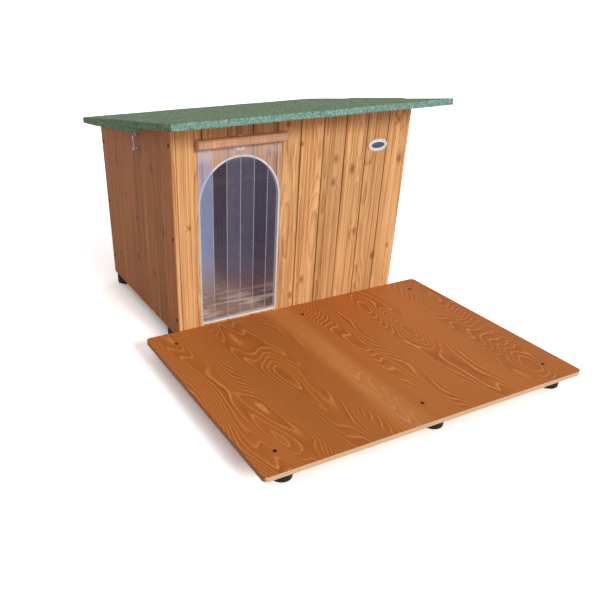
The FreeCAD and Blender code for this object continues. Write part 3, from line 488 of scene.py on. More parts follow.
OILED = (shade(188, 108, 48), shade(134, 66, 22), shade(236, 170, 104))
BARE = (shade(214, 178, 130), shade(188, 146, 98), shade(226, 196, 152))
CUT_EDGE = (shade(228, 196, 158), shade(168, 108, 64))
terrace_veneer = veneer("terrace_veneer", OILED, -0.10, CUT_EDGE)
deck_veneer = veneer("deck_veneer", BARE, 0.3, (shade(206, 172, 128), shade(172, 132, 90)), 0.8)
print("two plywoods")

# %% [markdown]
# ## Mineral roofing felt
#
# Roofing felt is bitumen with crushed slate pressed into it. Each granule is its own flat facet of
# green, so cells of random tone work better than a soft noise, with a slower mottle over them.
# The front fold is drawn paler and bluer, as painted light on the face turned to the front, and the
# side folds are drawn darker, as painted shade.

# %% Felt
GRANULE = 520
felt = Finish("mineral_felt", "green_felt", Specular_IOR_Level=0.2)
cells = felt.node("ShaderNodeTexVoronoi", {}, {"Vector": felt.point, "Scale": GRANULE}, "Color")
grain = felt.node("ShaderNodeSeparateXYZ", {}, {0: cells})
lumps = felt.noise(felt.point, 120, 2)
patches = felt.noise(felt.point, 7, 3)
# Painted light: felt that faces the front is drawn in paler, bluer greens.
front_lit = felt.facing(1).over(-0.55, -0.85)
# Painted shade: felt that faces the sides is drawn darker, through the specks term below.
folded = felt.facing(0).size().over(0.5, 0.85)
slate = felt.blend(grain.over(0.1, 0.9), shade(76, 98, 72), shade(140, 162, 130))
pale = felt.blend(grain.over(0.1, 0.9), shade(88, 126, 114), shade(142, 176, 164))
slate = felt.blend(front_lit, slate, pale)
dark_grain = grain.over(0.12, 0.02) * 0.7
slate = felt.blend(dark_grain, slate, shade(40, 48, 40))
specks_and_side_shade = felt.noise(felt.point, 75, 3).over(0.53, 0.62) * (1 - front_lit * 0.75) + folded * 0.3
felt.shaped(Base_Color=felt.scaled(slate, 0.84 + lumps.over(0.4, 0.6) * 0.36 + patches * 0.16 - specks_and_side_shade * 0.5),
            Roughness=0.92 - grain * 0.15)
felt.bump(grain * 0.6 + lumps, 0.0012)

bitumen = Finish("cut_bitumen", "green_felt", Specular_IOR_Level=0.3)
tar = bitumen.noise(bitumen.point, 300, 3)
bitumen.shaped(Base_Color=bitumen.blend(tar, shade(34, 38, 34), shade(70, 82, 66)), Roughness=0.6 + tar * 0.2)
bitumen.bump(tar, 0.0008)
print("felt with granules of about", round(1000 / GRANULE, 1), "mm")

# %% [markdown]
# ## Clear vinyl
#
# The strips are soft clear sheet with a milky lilac cast. Real refraction would be slow and noisy
# through six layers, so each strip is a thin see-through skin: a low alpha with a sharp gloss over
# it. Each strip has its own milkiness, partly the vinyl's own and partly painted reflection of what the
# strip faces. Painted reflection also tints the first strip sky blue and the foot pink from the
# terrace. Painted light lifts the top out of the batten's shadow, and painted highlights lie on the
# waves low down. The cut edges are half opaque, and the light they gather is painted on them.

# %% Vinyl
STRIPS_LEFT, STRIPS_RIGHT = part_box("curtain_strip_1")[0].x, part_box("curtain_strip_6")[1].x
# One milkiness per strip: partly the vinyl's own, partly painted reflection of what the strip faces.
STRIP_MILK_AND_REFLECTION = (0.28, 0.06, 0.12, 0.105, 0.07, 0.09)

vinyl = Finish("clear_vinyl", "clear_curtain", Specular_IOR_Level=0.6)
haze = vinyl.noise(vinyl.stretched(5, 5, 1.4), detail=3)
scuff = vinyl.noise(vinyl.stretched(90, 90, 8), detail=3)
place = (vinyl.x - STRIPS_LEFT) / (STRIPS_RIGHT - STRIPS_LEFT)
stops = [(n / STRIP_COUNT, (milk_and_reflection, milk_and_reflection, milk_and_reflection, 1)) for n, milk_and_reflection in enumerate(STRIP_MILK_AND_REFLECTION)]
milk_and_reflection = vinyl.node("ShaderNodeValToRGB", {"stops": stops, "steps": "CONSTANT"}, {0: place})
# Painted light: the top of the strips is lightened, lifting it out of the batten's shadow.
top = vinyl.z.over(0.80, 0.84)
# Painted reflection: the foot of the strips is tinted pink from the terrace below.
foot = vinyl.z.over(0.42, 0.20)
# Painted highlights: pale wavy streaks on the lower part of the strips.
ripple_highlights = vinyl.noise(vinyl.stretched(4, 4, 60), detail=3).over(0.48, 0.56) * vinyl.z.over(0.30, 0.15)
# Painted reflection: the first strip is tinted sky blue.
first = place.over(1 / STRIP_COUNT + 0.002, 1 / STRIP_COUNT - 0.002)
tint = vinyl.blend(haze, shade(156, 160, 208), shade(192, 194, 226))
tint = vinyl.blend(first * 0.6, tint, shade(186, 206, 252))
tint = vinyl.blend(foot * 0.8, tint, shade(190, 156, 158))
tint = vinyl.blend(ripple_highlights * 0.7, tint, shade(240, 226, 220))
tint = vinyl.blend(top * 0.8, tint, shade(238, 230, 232))
vinyl.shaped(
    Base_Color=tint,
    Roughness=0.10 + scuff.over(0.55, 0.8) * 0.2,
    Alpha=vinyl.node("ShaderNodeSeparateColor", {}, {0: milk_and_reflection}) * (1 - foot * first * 0.6)
    + (haze - 0.5) * 0.10 + top * 0.08 + foot * 0.02 + ripple_highlights * 0.16,
)
vinyl.bump(haze + scuff * 0.05, 0.002, 0.5)

# Painted highlight: the cut edge is drawn pale grey for the light it gathers, and is half opaque.
vinyl_edge_highlight = Finish("vinyl_cut_edge_highlight", "clear_curtain", Specular_IOR_Level=0.6)
nick = vinyl_edge_highlight.noise(vinyl_edge_highlight.stretched(200, 200, 40))
vinyl_edge_highlight.shaped(Base_Color=vinyl_edge_highlight.blend(nick, shade(196, 200, 204), shade(226, 228, 230)),
                  Roughness=0.3 + nick * 0.2, Alpha=0.5 + nick * 0.2)
print("vinyl and its cut edge")

# %% [markdown]
# ## White mouldings, black rubber and metal
#
# Small fittings are plain to look at from a step away, but a single flat colour looks like nothing
# close up. White plastic has a faint waviness, moulded rubber a fine leather, plated steel a grain.

# %% Small finishes
def moulded(name, slot, low, high, rough, scale, depth, **constants):
    """A moulded or painted skin: two close colours and a fine texture."""
    finish = Finish(name, slot, **constants)
    skin = finish.noise(finish.point, scale, 3)
    soil = finish.noise(finish.point, scale / 25, 3)
    finish.shaped(Base_Color=finish.blend(skin * 0.4 + soil * 0.6, low, high),
                  Roughness=rough + (skin - 0.5) * 0.25 + (soil - 0.5) * 0.1)
    finish.bump(skin, depth)
    return finish


white_plastic = moulded("white_moulding", "white_edging", shade(226, 226, 222), shade(246, 246, 246),
                        0.32, 300, 0.0001, Specular_IOR_Level=0.5)
plate_enamel = moulded("plate_enamel", "blank_plate", shade(226, 227, 226), shade(244, 244, 243),
                       0.25, 220, 0.00008, Coat_Weight=0.4)
plate_line = moulded("plate_line", "blank_plate", shade(58, 66, 84), shade(78, 86, 104),
                     0.35, 220, 0.00008, Coat_Weight=0.4)
foot_rubber = moulded("foot_rubber", "black_feet", shade(18, 18, 19), shade(36, 36, 37),
                      0.55, 900, 0.0003, Specular_IOR_Level=0.4)
black_screw = moulded("blackened_screw", "black_screw", shade(12, 12, 13), shade(30, 30, 31),
                      0.50, 700, 0.0001, Specular_IOR_Level=0.3)
zinc = moulded("bright_zinc", "zinc", shade(186, 190, 196), shade(222, 224, 228),
               0.30, 500, 0.00012, Metallic=1.0)

# %% [markdown]
# ## Dressing the model's own pieces
#
# Most pieces of the model already have the right shape, such as the boards with their bevelled
# joints. They only take their finish, piece by piece.

# %% Finishes on the model's pieces
def beginning(*starts):
    """The names of the model's pieces that begin in one of these ways."""
    return [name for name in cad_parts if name.startswith(starts)]


FINISH_OF = {
    front_pine: ["front_boards"],
    side_pine: ["left_boards", "right_boards"],
    rear_pine: ["rear_boards"],
    batten_pine: ["curtain_batten"],
    upright_pine: beginning("corner_post", "door_stud"),
    cross_pine: beginning("floor_bearer", "roof_batten", "platform_bearer", "front_top", "front_mid",
                          "rear_top", "rear_mid"),
    deep_pine: ["floor_boards", "left_top_rail", "left_mid_rail", "right_top_rail", "right_mid_rail"],
    deck_veneer: ["roof_deck"],
    terrace_veneer: ["platform_board"],
    white_plastic: ["door_trim", "round_vent"],
    vinyl: beginning("curtain_header", "curtain_strip"),
    felt: ["roof_felt_front", "roof_felt_rear"],
    foot_rubber: ["house_feet", "platform_feet"],
    black_screw: [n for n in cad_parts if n.endswith("screws") and not n.startswith("hinge")],
    zinc: beginning("hinge", "hook", "roof_eyes", "wall_eyes"),
    plate_enamel: ["oval_plate"],
}
for finish, names in FINISH_OF.items():
    for name in names:
        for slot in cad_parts[name].material_slots:
            slot.material = finish.material
left_out = set(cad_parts) - {name for names in FINISH_OF.values() for name in names}
print("pieces with no finish:", sorted(left_out))

# %% [markdown]
# ## Tools for new pieces
#
# A few pieces deserve a better shape than plain solids give. Their meshes come from lists of points
# worked out by formula, so two small helpers are enough: one makes an object, one softens corners.

# %% Making a piece
SMOOTH_ANGLE = math.radians(35)
SAME_PLACE = 1e-6


def piece(name, points, faces, finishes, body, *replaced, second=()):
    """A new object from points and faces, dressed, riding on its body in place of its solids."""
    mesh = bpy.data.meshes.new(name)
    mesh.from_pydata([tuple(p) for p in points], [], faces)
    cleaned = bmesh.new()
    cleaned.from_mesh(mesh)
    bmesh.ops.remove_doubles(cleaned, verts=cleaned.verts, dist=SAME_PLACE)
    bmesh.ops.recalc_face_normals(cleaned, faces=cleaned.faces)
    cleaned.to_mesh(mesh)
    cleaned.free()
    mesh.shade_smooth()
    mesh.set_sharp_from_angle(angle=SMOOTH_ANGLE)
    for finish in finishes:
        mesh.materials.append(finish.material)
    for index in second:
        mesh.polygons[index].material_index = 1
    made = bpy.data.objects.new(name, mesh)
    scene.collection.objects.link(made)
    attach(made, body)
    if replaced:
        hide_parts(*replaced)
    print(f"{name}: {len(mesh.vertices)} points, {len(mesh.polygons)} faces")
    return made


def softened(outline, steps=4):
    """A closed outline of (x, y, radius) corners, each turned into a small curve."""
    soft = []
    for index, (x, y, radius) in enumerate(outline):
        corner = Vector((x, y))
        before = Vector(outline[index - 1][:2])
        after = Vector(outline[(index + 1) % len(outline)][:2])
        if radius == 0:
            soft.append(corner)
            continue
        start = corner + (before - corner).normalized() * radius
        end = corner + (after - corner).normalized() * radius
        for step in range(steps + 1):
            t = step / steps
            soft.append(start * (1 - t) ** 2 + corner * 2 * t * (1 - t) + end * t ** 2)
    return soft


print("faces that meet at less than", round(math.degrees(SMOOTH_ANGLE)), "degrees are shaded as one")

# %% [markdown]
# ## Eased edges
#
# Sawn plywood and moulded rubber have no knife edges: a router or the mould leaves a small round
# that catches the light. A copy of the model's own mesh, with only its sharp edges rounded, keeps
# the piece's size to the hair.

# %% Eased pieces
FLAT_ANGLE, SHARP_ANGLE = math.radians(1), math.radians(40)


def eased(name, node, finish, width, steps=3):
    """A copy of a node's mesh with its sharp edges rounded."""
    work = bmesh.new()
    work.from_mesh(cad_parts[node].data)
    bmesh.ops.remove_doubles(work, verts=work.verts, dist=SAME_PLACE)
    bmesh.ops.dissolve_limit(work, angle_limit=FLAT_ANGLE, verts=work.verts, edges=work.edges)
    sharp = [e for e in work.edges if len(e.link_faces) == 2 and e.calc_face_angle() > SHARP_ANGLE]
    bmesh.ops.bevel(work, geom=sharp, offset=width, offset_type="OFFSET", segments=steps, profile=0.5,
                    affect="EDGES", clamp_overlap=True)
    points = [vertex.co.copy() for vertex in work.verts]
    work.verts.index_update()
    faces = [tuple(vertex.index for vertex in face.verts) for face in work.faces]
    work.free()
    made = piece(name, points, faces, [finish], "kennel", node)
    even = made.modifiers.new("even shading", "WEIGHTED_NORMAL")
    even.keep_sharp = True
    even.weight = 100


eased("eased_terrace_board", "platform_board", terrace_veneer, 0.0015)
eased("eased_house_feet", "house_feet", foot_rubber, 0.0015)
eased("eased_terrace_feet", "platform_feet", foot_rubber, 0.0015)
eased("eased_curtain_batten", "curtain_batten", batten_pine, 0.0012)

# %% [markdown]
# ## The doorway's edging
#
# The white edging is a soft channel pushed over the raw edge of the boards. One section, with its
# lips rounded, is carried round the doorway's outline. A curve with a bevel would do it too, but
# here the section keeps its exact seat on the boards at each station.

# %% Door edging
TRIM_LIP, TRIM_LINING, TRIM_PROUD = 0.006, 0.002, 0.002
LIP_ROUND, LINING_ROUND = 0.0012, 0.0014
CORNER_STEPS, ARCH_STEPS = 8, 72
DOOR_HALF = (DOOR_HIGH.x - DOOR_LOW.x) / 2 - TRIM_LIP
DOOR_SILL = DOOR_LOW.z + TRIM_LIP
DOOR_CORNER = 0.015
DOOR_SPRING = DOOR_HIGH.z - TRIM_LIP - DOOR_HALF


def bend(cx, cz, radius, start, end, steps):
    """Stations round an arc: each has a place on the doorway's edge and the way out of it."""
    for step in range(steps + 1):
        angle = math.radians(start + (end - start) * step / steps)
        out = Vector((math.cos(angle), math.sin(angle)))
        yield Vector((cx, cz)) + out * radius, out


inner, corner_z = DOOR_HALF - DOOR_CORNER, DOOR_SILL + DOOR_CORNER
stations = [
    *bend(DOOR_X + inner, corner_z, DOOR_CORNER, -90, 0, CORNER_STEPS),
    *bend(DOOR_X, DOOR_SPRING, DOOR_HALF, 0, 180, ARCH_STEPS),
    *bend(DOOR_X - inner, corner_z, DOOR_CORNER, 180, 270, CORNER_STEPS),
]
back_of_boards = BOARD_THICK + TRIM_PROUD
channel = softened([
    (TRIM_LIP, -TRIM_PROUD, LIP_ROUND), (-TRIM_LINING, -TRIM_PROUD, LINING_ROUND),
    (-TRIM_LINING, back_of_boards, LINING_ROUND), (TRIM_LIP, back_of_boards, LIP_ROUND),
    (TRIM_LIP, BOARD_THICK, 0), (0, BOARD_THICK, 0), (0, 0, 0), (TRIM_LIP, 0, 0),
])
points = [
    (spot.x + out.x * step.x, FRONT + step.y, spot.y + out.y * step.x)
    for spot, out in stations
    for step in channel
]
ring, count = len(channel), len(stations)
faces = []
for a in range(count):
    here, there = a * ring, (a + 1) % count * ring
    faces += [(here + b, here + (b + 1) % ring, there + (b + 1) % ring, there + b) for b in range(ring)]
piece("doorway_edging", points, faces, [white_plastic], "kennel", "door_trim")

# %% [markdown]
# ## Vinyl strips
#
# A strip cut from a roll keeps a little of the roll's curl and is never quite flat. Cloth
# simulation would be slow for so small a bend, so each strip is a fine grid that bows across its
# width and leans out by a few millimetres towards its free end, each a little differently.

# %% The grid of a strip
STRIP_BODY, STRIP_EDGE = 0.0016, 0.0002
LEAN, LEAN_SPREAD, TURN, BOW, WAVE = 0.0022, 0.0012, 0.0010, 0.0009, 0.0004
STRIP_COLUMNS, STRIP_ROWS = 8, 40
# Share of a strip's width that carries the cut edge's painted highlight.
EDGE_HIGHLIGHT_SHARE = 0.012


def strip_points(low, high, number, front):
    """The grid of one face of a strip."""
    lean = LEAN + LEAN_SPREAD * math.sin(2.1 * number)
    turn = TURN * math.sin(1.7 * number + 0.6)
    for row in range(STRIP_ROWS + 1):
        v = row / STRIP_ROWS
        hang = (1 - v) ** 2
        for column in range(STRIP_COLUMNS + 1):
            u = (column - 1) / (STRIP_COLUMNS - 2)
            u = min(1.0, max(0.0, EDGE_HIGHLIGHT_SHARE + u * (1 - 2 * EDGE_HIGHLIGHT_SHARE)))
            if column in (0, STRIP_COLUMNS):
                u = column / STRIP_COLUMNS
            bow = BOW * (1 - (2 * u - 1) ** 2) * min(1.0, 4 * (1 - v))
            wave = WAVE * math.sin(9 * v + number) * (1 - v)
            out = bow + lean * hang + turn * (2 * u - 1) * hang + wave * hang
            y = high.y - STRIP_EDGE - out - (STRIP_BODY if front else 0)
            yield (low.x + u * (high.x - low.x), y, low.z + v * (high.z - low.z))


def grid_faces(rows, columns, start=0, flip=False):
    """The quads of a grid of (rows + 1) x (columns + 1) points."""
    for row in range(rows):
        for column in range(columns):
            a = start + row * (columns + 1) + column
            quad = (a, a + 1, a + columns + 2, a + columns + 1)
            yield quad[::-1] if flip else quad


def grid_rim(rows, columns):
    """The points round the edge of a grid, in order."""
    wide = columns + 1
    bottom = list(range(wide))
    right = [row * wide + columns for row in range(1, rows + 1)]
    top = [rows * wide + column for column in range(columns - 1, -1, -1)]
    left = [row * wide for row in range(rows - 1, 0, -1)]
    return bottom + right + top + left


print("a strip's face has", (STRIP_ROWS + 1) * (STRIP_COLUMNS + 1), "points")

# %% [markdown]
# ### Six strips in a row
#
# Two grids back to back and a rim between them make one closed strip, so that it has a real
# thickness. The rim and the narrow outer columns take the cut edge's finish, whose pale colour is a
# painted highlight; it draws the fine pale line that is seen where two strips meet. Each strip rides
# on its own body and can swing.

# %% Curtain strips
for number in range(1, STRIP_COUNT + 1):
    node = f"curtain_strip_{number}"
    low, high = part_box(node)
    points = [*strip_points(low, high, number, False), *strip_points(low, high, number, True)]
    half = len(points) // 2
    rim = grid_rim(STRIP_ROWS, STRIP_COLUMNS)
    faces = [*grid_faces(STRIP_ROWS, STRIP_COLUMNS), *grid_faces(STRIP_ROWS, STRIP_COLUMNS, half, True)]
    edge_start = len(faces)
    faces += [
        (rim[n], rim[(n + 1) % len(rim)], half + rim[(n + 1) % len(rim)], half + rim[n])
        for n in range(len(rim))
    ]
    # These faces take the cut edge's finish with its painted highlight.
    edges = [n for n in range(edge_start) if n % STRIP_COLUMNS in (0, STRIP_COLUMNS - 1)]
    edges += range(edge_start, len(faces))
    piece(f"vinyl_strip_{number}", points, faces, [vinyl, vinyl_edge_highlight], f"strip_{number}", node,
          second=edges)

# %% [markdown]
# ## The felt on the roof
#
# Two sheets cover the deck. The front one is folded tightly over the front edge and both sides; it
# laps over the rear one, whose sides were left long and sag below the deck. A cloth simulation
# would lose the crisp nailed fold, so the sheet is drawn directly: a flat top, a rounded shoulder
# and a skirt, carried in one piece round three sides, with slow waves and an uneven hem. First come
# the places on the slope that both sheets are measured from.

# %% Places on the roof
ROOF_SLOPE = math.radians(8.1)
FELT_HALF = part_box("roof_felt_rear")[1].x
DECK_UNDER, DECK_THICK, FELT_THICK = 0.0003, 0.020, 0.003
FELT_TOP = DECK_UNDER + DECK_THICK + FELT_THICK
ROOF_START = -0.178 / math.cos(ROOF_SLOPE) - FELT_THICK
ROOF_END = (BACK - FRONT + 0.058) / math.cos(ROOF_SLOPE) + FELT_THICK
REAR_SHEET_START = 0.146 / math.cos(ROOF_SLOPE)
FRONT_SHEET_END = 0.520 / math.cos(ROOF_SLOPE)


def on_roof(x, along, above):
    """A point on the slope: along runs back down it, above is square to it."""
    return Vector((
        x,
        FRONT + along * math.cos(ROOF_SLOPE) + above * math.sin(ROOF_SLOPE),
        WALL_TOP - along * math.sin(ROOF_SLOPE) + above * math.cos(ROOF_SLOPE),
    ))


def ease(value, low, high):
    """A smooth step from 0 at low to 1 at high."""
    t = min(1.0, max(0.0, (value - low) / (high - low)))
    return t * t * (3 - 2 * t)


print(f"the roof's slope runs from {ROOF_START:.3f} to {ROOF_END:.3f}")

# %% [markdown]
# ### The rim that the sheet folds over
#
# The rim runs down one side, across the closed end and up the other side. Each of its stations says
# where the fold starts and which way it goes. At the two corners the stations fan out round one
# point, as a pleat does, so that the skirt turns the corner without a gap.

# %% The rim of a sheet
SHOULDER_STEPS, SKIRT_STEPS = 5, 5


def folded_rim(rows, columns, along_at, reach_at, corner, inner_end, way):
    """The three folded sides, as (top point's number, x, along, way out)."""
    wide = columns + 1
    turns = [math.pi / 2 * step / SHOULDER_STEPS for step in range(1, SHOULDER_STEPS)]
    rim = []
    for row in range(rows + 1):
        along = along_at(0, row)
        rim.append((row * wide, -reach_at(along), along, Vector((-1, 0))))
    for turn in turns:
        rim.append((rows * wide, -corner, inner_end, Vector((-math.cos(turn), way * math.sin(turn)))))
    for column in range(columns + 1):
        x = -corner + 2 * corner * column / columns
        rim.append((rows * wide + column, x, inner_end, Vector((0, way))))
    for turn in reversed(turns):
        out = Vector((math.cos(turn), way * math.sin(turn)))
        rim.append((rows * wide + columns, corner, inner_end, out))
    for row in range(rows, -1, -1):
        along = along_at(1, row)
        rim.append((row * wide + columns, reach_at(along), along, Vector((1, 0))))
    return rim


print("each corner of a sheet fans out in", SHOULDER_STEPS - 1, "stations")

# %% [markdown]
# ### A folded sheet
#
# The top is a grid. From the rim the fold runs over a rounded shoulder and down the skirt, one column
# of points for each station. A Solidify modifier gives the felt its thickness, and its open edge
# takes the dark cut of bitumen.

# %% A folded sheet
BILLOW, FINE_BILLOW = 0.0008, 0.0005
EDGE_PLAY = 0.0004


def felt_sheet(name, node, closed, opened, half, crown, hem, shoulder, rows, columns, skew):
    """A sheet folded over one closed end and both sides, and cut off at its open end."""
    way = 1 if closed > opened else -1
    radius = shoulder(closed)
    inner_end = closed - way * radius
    levels = SHOULDER_STEPS + SKIRT_STEPS

    def along_at(share, row):
        start = opened + skew(share)
        return start + (inner_end - start) * row / rows

    def reach_at(along):
        return half(along) - shoulder(along)

    def ring_point(x, along, out, level):
        """One point of the fold: level runs over the shoulder, then down the skirt."""
        turn_radius = shoulder(along)
        top = crown(x, along)
        if level <= SHOULDER_STEPS:
            turn = math.pi / 2 * level / SHOULDER_STEPS
            away, above = turn_radius * math.sin(turn), top - turn_radius * (1 - math.cos(turn))
        else:
            share = (level - SHOULDER_STEPS) / SKIRT_STEPS
            bottom = hem(x + out.x * turn_radius, along, out)
            above = top - turn_radius + (bottom - top + turn_radius) * share
            billow = BILLOW * math.sin(37 * along + 23 * x) + FINE_BILLOW * math.sin(91 * along - 61 * x)
            away = turn_radius + (billow - BILLOW) * share
        return on_roof(x + out.x * away, along + out.y * away, above)

    points = []
    for row in range(rows + 1):
        for share in (column / columns for column in range(columns + 1)):
            along = along_at(share, row)
            x = reach_at(along) * (2 * share - 1)
            points.append(on_roof(x, along, crown(x, along)))
    faces = list(grid_faces(rows, columns))
    rim = folded_rim(rows, columns, along_at, reach_at, half(inner_end) - radius, inner_end, way)
    start = len(points)
    for _, x, along, out in rim:
        points += [ring_point(x, along, out, level) for level in range(1, levels + 1)]
    for n in range(len(rim) - 1):
        tops = rim[n][0], rim[n + 1][0]
        a, b = start + n * levels, start + (n + 1) * levels
        faces.append((tops[0], tops[1], b, a) if tops[0] != tops[1] else (tops[0], b, a))
        faces += [(a + k, b + k, b + k + 1, a + k + 1) for k in range(levels - 1)]

    made = piece(name, points, faces, [felt, bitumen], "roof", node)
    thick = made.modifiers.new("thickness", "SOLIDIFY")
    thick.thickness, thick.offset = FELT_THICK - EDGE_PLAY, -1
    thick.use_even_offset = True
    thick.material_offset_rim = 1


print("a sheet is folded in", SHOULDER_STEPS + SKIRT_STEPS, "levels")

# %% [markdown]
# ### The two sheets
#
# What sets the sheets apart is written as small functions: how high the top lies, how low the hem
# hangs and how wide the shoulder is. The front sheet climbs over the rear one and its free end curls
# up a little. The rear sheet's sides sag, which the picture shows as a wavy hem on the left.

# %% Felt sheets
CROWN = FELT_TOP - 0.0008
SNUG = DECK_UNDER - FELT_THICK
FELT_REACH = FELT_HALF - 0.0003
SAG_PLACE, SAG, LONG_HEM = 0.26, 0.0125, 0.008


def ripple(x, along):
    """Slow unevenness of a sheet that lies on a deck."""
    return 0.0005 * math.sin(5.3 * x + 2.0) * math.sin(8.1 * along) + 0.0003 * math.sin(17 * x + 9 * along)


def front_crown(x, along):
    lap = FELT_THICK * ease(along, REAR_SHEET_START - 0.03, REAR_SHEET_START + 0.02)
    curl = 0.0016 * ease(along, 0.40, 0.53) * (0.6 + 0.4 * math.sin(6 * x + 1.2))
    return CROWN + lap + curl + ripple(x, along)


def rear_crown(x, along):
    return CROWN + ripple(x, along + 3.0)


def front_hem(x, along, out):
    return SNUG + 0.0006 * math.sin(14 * x + 11 * along) - EDGE_PLAY


def rear_hem(x, along, out):
    """The long sides sag most a quarter of the way back, and are snug at the end."""
    share = max(0.0, (along - REAR_SHEET_START) / (ROOF_END - REAR_SHEET_START))
    sag = share / SAG_PLACE * math.exp(1 - share / SAG_PLACE)
    snug = SNUG + 0.0004 * math.sin(13 * x)
    if abs(out.x) < 0.5:
        return snug
    drop = (LONG_HEM * (1 - share) + SAG * sag) * ease(1 - share, 0.0, 0.12)
    return snug - drop + 0.0006 * math.sin(31 * along)


def rear_shoulder(along):
    return 0.005 + 0.004 * math.sin(math.pi * ease(along, 0.45, 1.0))


def front_half(along):
    return FELT_REACH + FELT_THICK * ease(along, REAR_SHEET_START - 0.03, REAR_SHEET_START + 0.01)


felt_sheet(
    "felt_rear_sheet", "roof_felt_rear", ROOF_END, REAR_SHEET_START, lambda along: FELT_REACH,
    rear_crown, rear_hem, rear_shoulder,
    34, 44, lambda share: 0.002 * math.sin(9 * share),
)
felt_sheet(
    "felt_front_sheet", "roof_felt_front", ROOF_START, FRONT_SHEET_END, front_half,
    front_crown, front_hem, lambda along: 0.0042,
    30, 44, lambda share: -0.018 * (1 - share) + 0.004 * math.sin(7 * share),
)

# %% [markdown]
# ## Screw heads
#
# The screws are black, with a broad, low domed head and a cross recess. From afar they are dots, but
# a close view needs the recess. The model holds all the screws of a kind in one mesh, so they are
# told apart first: points that are joined by edges belong to the same screw.

# %% Finding the screws
def islands(node):
    """The separate solids of a node, each as its lowest and highest corner."""
    work = bmesh.new()
    work.from_mesh(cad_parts[node].data)
    bmesh.ops.remove_doubles(work, verts=work.verts, dist=SAME_PLACE)
    found, seen = [], set()
    for vertex in work.verts:
        if vertex in seen:
            continue
        group, edge = [], [vertex]
        seen.add(vertex)
        while edge:
            current = edge.pop()
            group.append(current.co.copy())
            for link in current.link_edges:
                other = link.other_vert(current)
                if other not in seen:
                    seen.add(other)
                    edge.append(other)
        found.append((Vector(map(min, zip(*group))), Vector(map(max, zip(*group)))))
    work.free()
    return found


print("screws in the corners:", len(islands("corner_screws")))

# %% [markdown]
# ### One screw
#
# A screw is turned like a lathe part. Its profile runs from the middle of the dome to its edge, back
# under the head and down the shank to the point. The points of the dome that fall inside a cross are
# then pressed in. Cutting the cross with a boolean would leave ragged faces round it.

# %% A turned screw
def ring_faces(rings, steps, start=0):
    """The quads between each ring of points and the next one."""
    for ring in range(rings - 1):
        for step in range(steps):
            a = start + ring * steps + step
            b = start + ring * steps + (step + 1) % steps
            yield (a, b, b + steps, a + steps)


def turned(profile, steps):
    """A lathe-turned skin of (radius, height) rings, from its first end to its last."""
    points = []
    for radius, height in profile:
        for step in range(steps):
            angle = 2 * math.pi * step / steps
            points.append(Vector((radius * math.cos(angle), radius * math.sin(angle), height)))
    return points, list(ring_faces(len(profile), steps))


HEAD_RADIUS, HEAD_HEIGHT, SHANK_RADIUS = 0.0076, 0.0022, 0.0022
RECESS_ARM, RECESS_HALF, RECESS_DEPTH = 0.0031, 0.0007, 0.0015
HEAD_RINGS, HEAD_STEPS = 14, 48
RIM_SHARE, DOME_POWER = 0.45, 2.4
POINT_LENGTH, POINT_RADIUS = 0.005, 1e-5


def screw(length):
    """A screw along Z with its head's underside at 0: a domed head above, a shank below."""
    dome = []
    for ring in range(HEAD_RINGS + 1):
        share = ring / HEAD_RINGS
        rise = math.sqrt(max(0.0, 1 - share ** DOME_POWER))
        height = HEAD_HEIGHT * (RIM_SHARE + (1 - RIM_SHARE) * rise)
        dome.append((max(POINT_RADIUS, HEAD_RADIUS * share), height))
    shank = [(HEAD_RADIUS, 0.0002), (HEAD_RADIUS - 0.0003, 0.0), (SHANK_RADIUS, 0.0),
             (SHANK_RADIUS, POINT_LENGTH - length), (POINT_RADIUS, -length)]
    points, faces = turned(dome + shank, HEAD_STEPS)
    for point in points[:HEAD_STEPS * HEAD_RINGS]:
        near, far = sorted((abs(point.x), abs(point.y)))
        inside = (1 - ease(near, RECESS_HALF - 0.0002, RECESS_HALF + 0.0002)) \
            * (1 - ease(far, RECESS_ARM - 0.0003, RECESS_ARM + 0.0002))
        point.z -= RECESS_DEPTH * inside
    return points, faces


print("a screw 30 mm long has", len(screw(0.030)[0]), "points")

# %% [markdown]
# ### The sets
#
# Each screw of the model gives its place, its length and its axis. The turned screw is laid over it
# with the head outward, and each is turned by a different angle, because nobody lines them up.

# %% Screw sets
TURN_EACH = 1.3


def screw_set(name, node, outward=None):
    """All the screws of a node, heads facing one way, or else out of the nearer side wall."""
    points, faces = [], []
    for count, (low, high) in enumerate(islands(node)):
        middle = (low + high) / 2
        facing = Vector(outward or (math.copysign(1, middle.x), 0, 0))
        axis = max(range(3), key=lambda n: abs(facing[n]))
        length = (high - low)[axis] - HEAD_HEIGHT
        outer = high[axis] if facing[axis] > 0 else low[axis]
        seat = middle.copy()
        seat[axis] = outer - facing[axis] * HEAD_HEIGHT
        turn = Vector((0, 0, 1)).rotation_difference(facing).to_matrix()
        turn = turn @ Matrix.Rotation(TURN_EACH * count, 3, "Z")
        some, quads = screw(length)
        start = len(points)
        points += [seat + turn @ p for p in some]
        faces += [tuple(start + n for n in quad) for quad in quads]
    piece(name, points, faces, [black_screw], "kennel", node)


screw_set("corner_screw_set", "corner_screws")
screw_set("terrace_screw_set", "platform_screws", (0, 0, 1))
screw_set("batten_screw_set", "batten_screws", (0, 1, 0))
screw_set("house_foot_screw_set", "house_feet_screws", (0, 0, -1))
screw_set("terrace_foot_screw_set", "platform_feet_screws", (0, 0, -1))

# %% [markdown]
# ## The oval plate
#
# A small pressed plate is fixed to the front. It is left blank: a raised rim, a fine dark border
# line and a plain dark field. Nested ovals, each at its own height, make it.

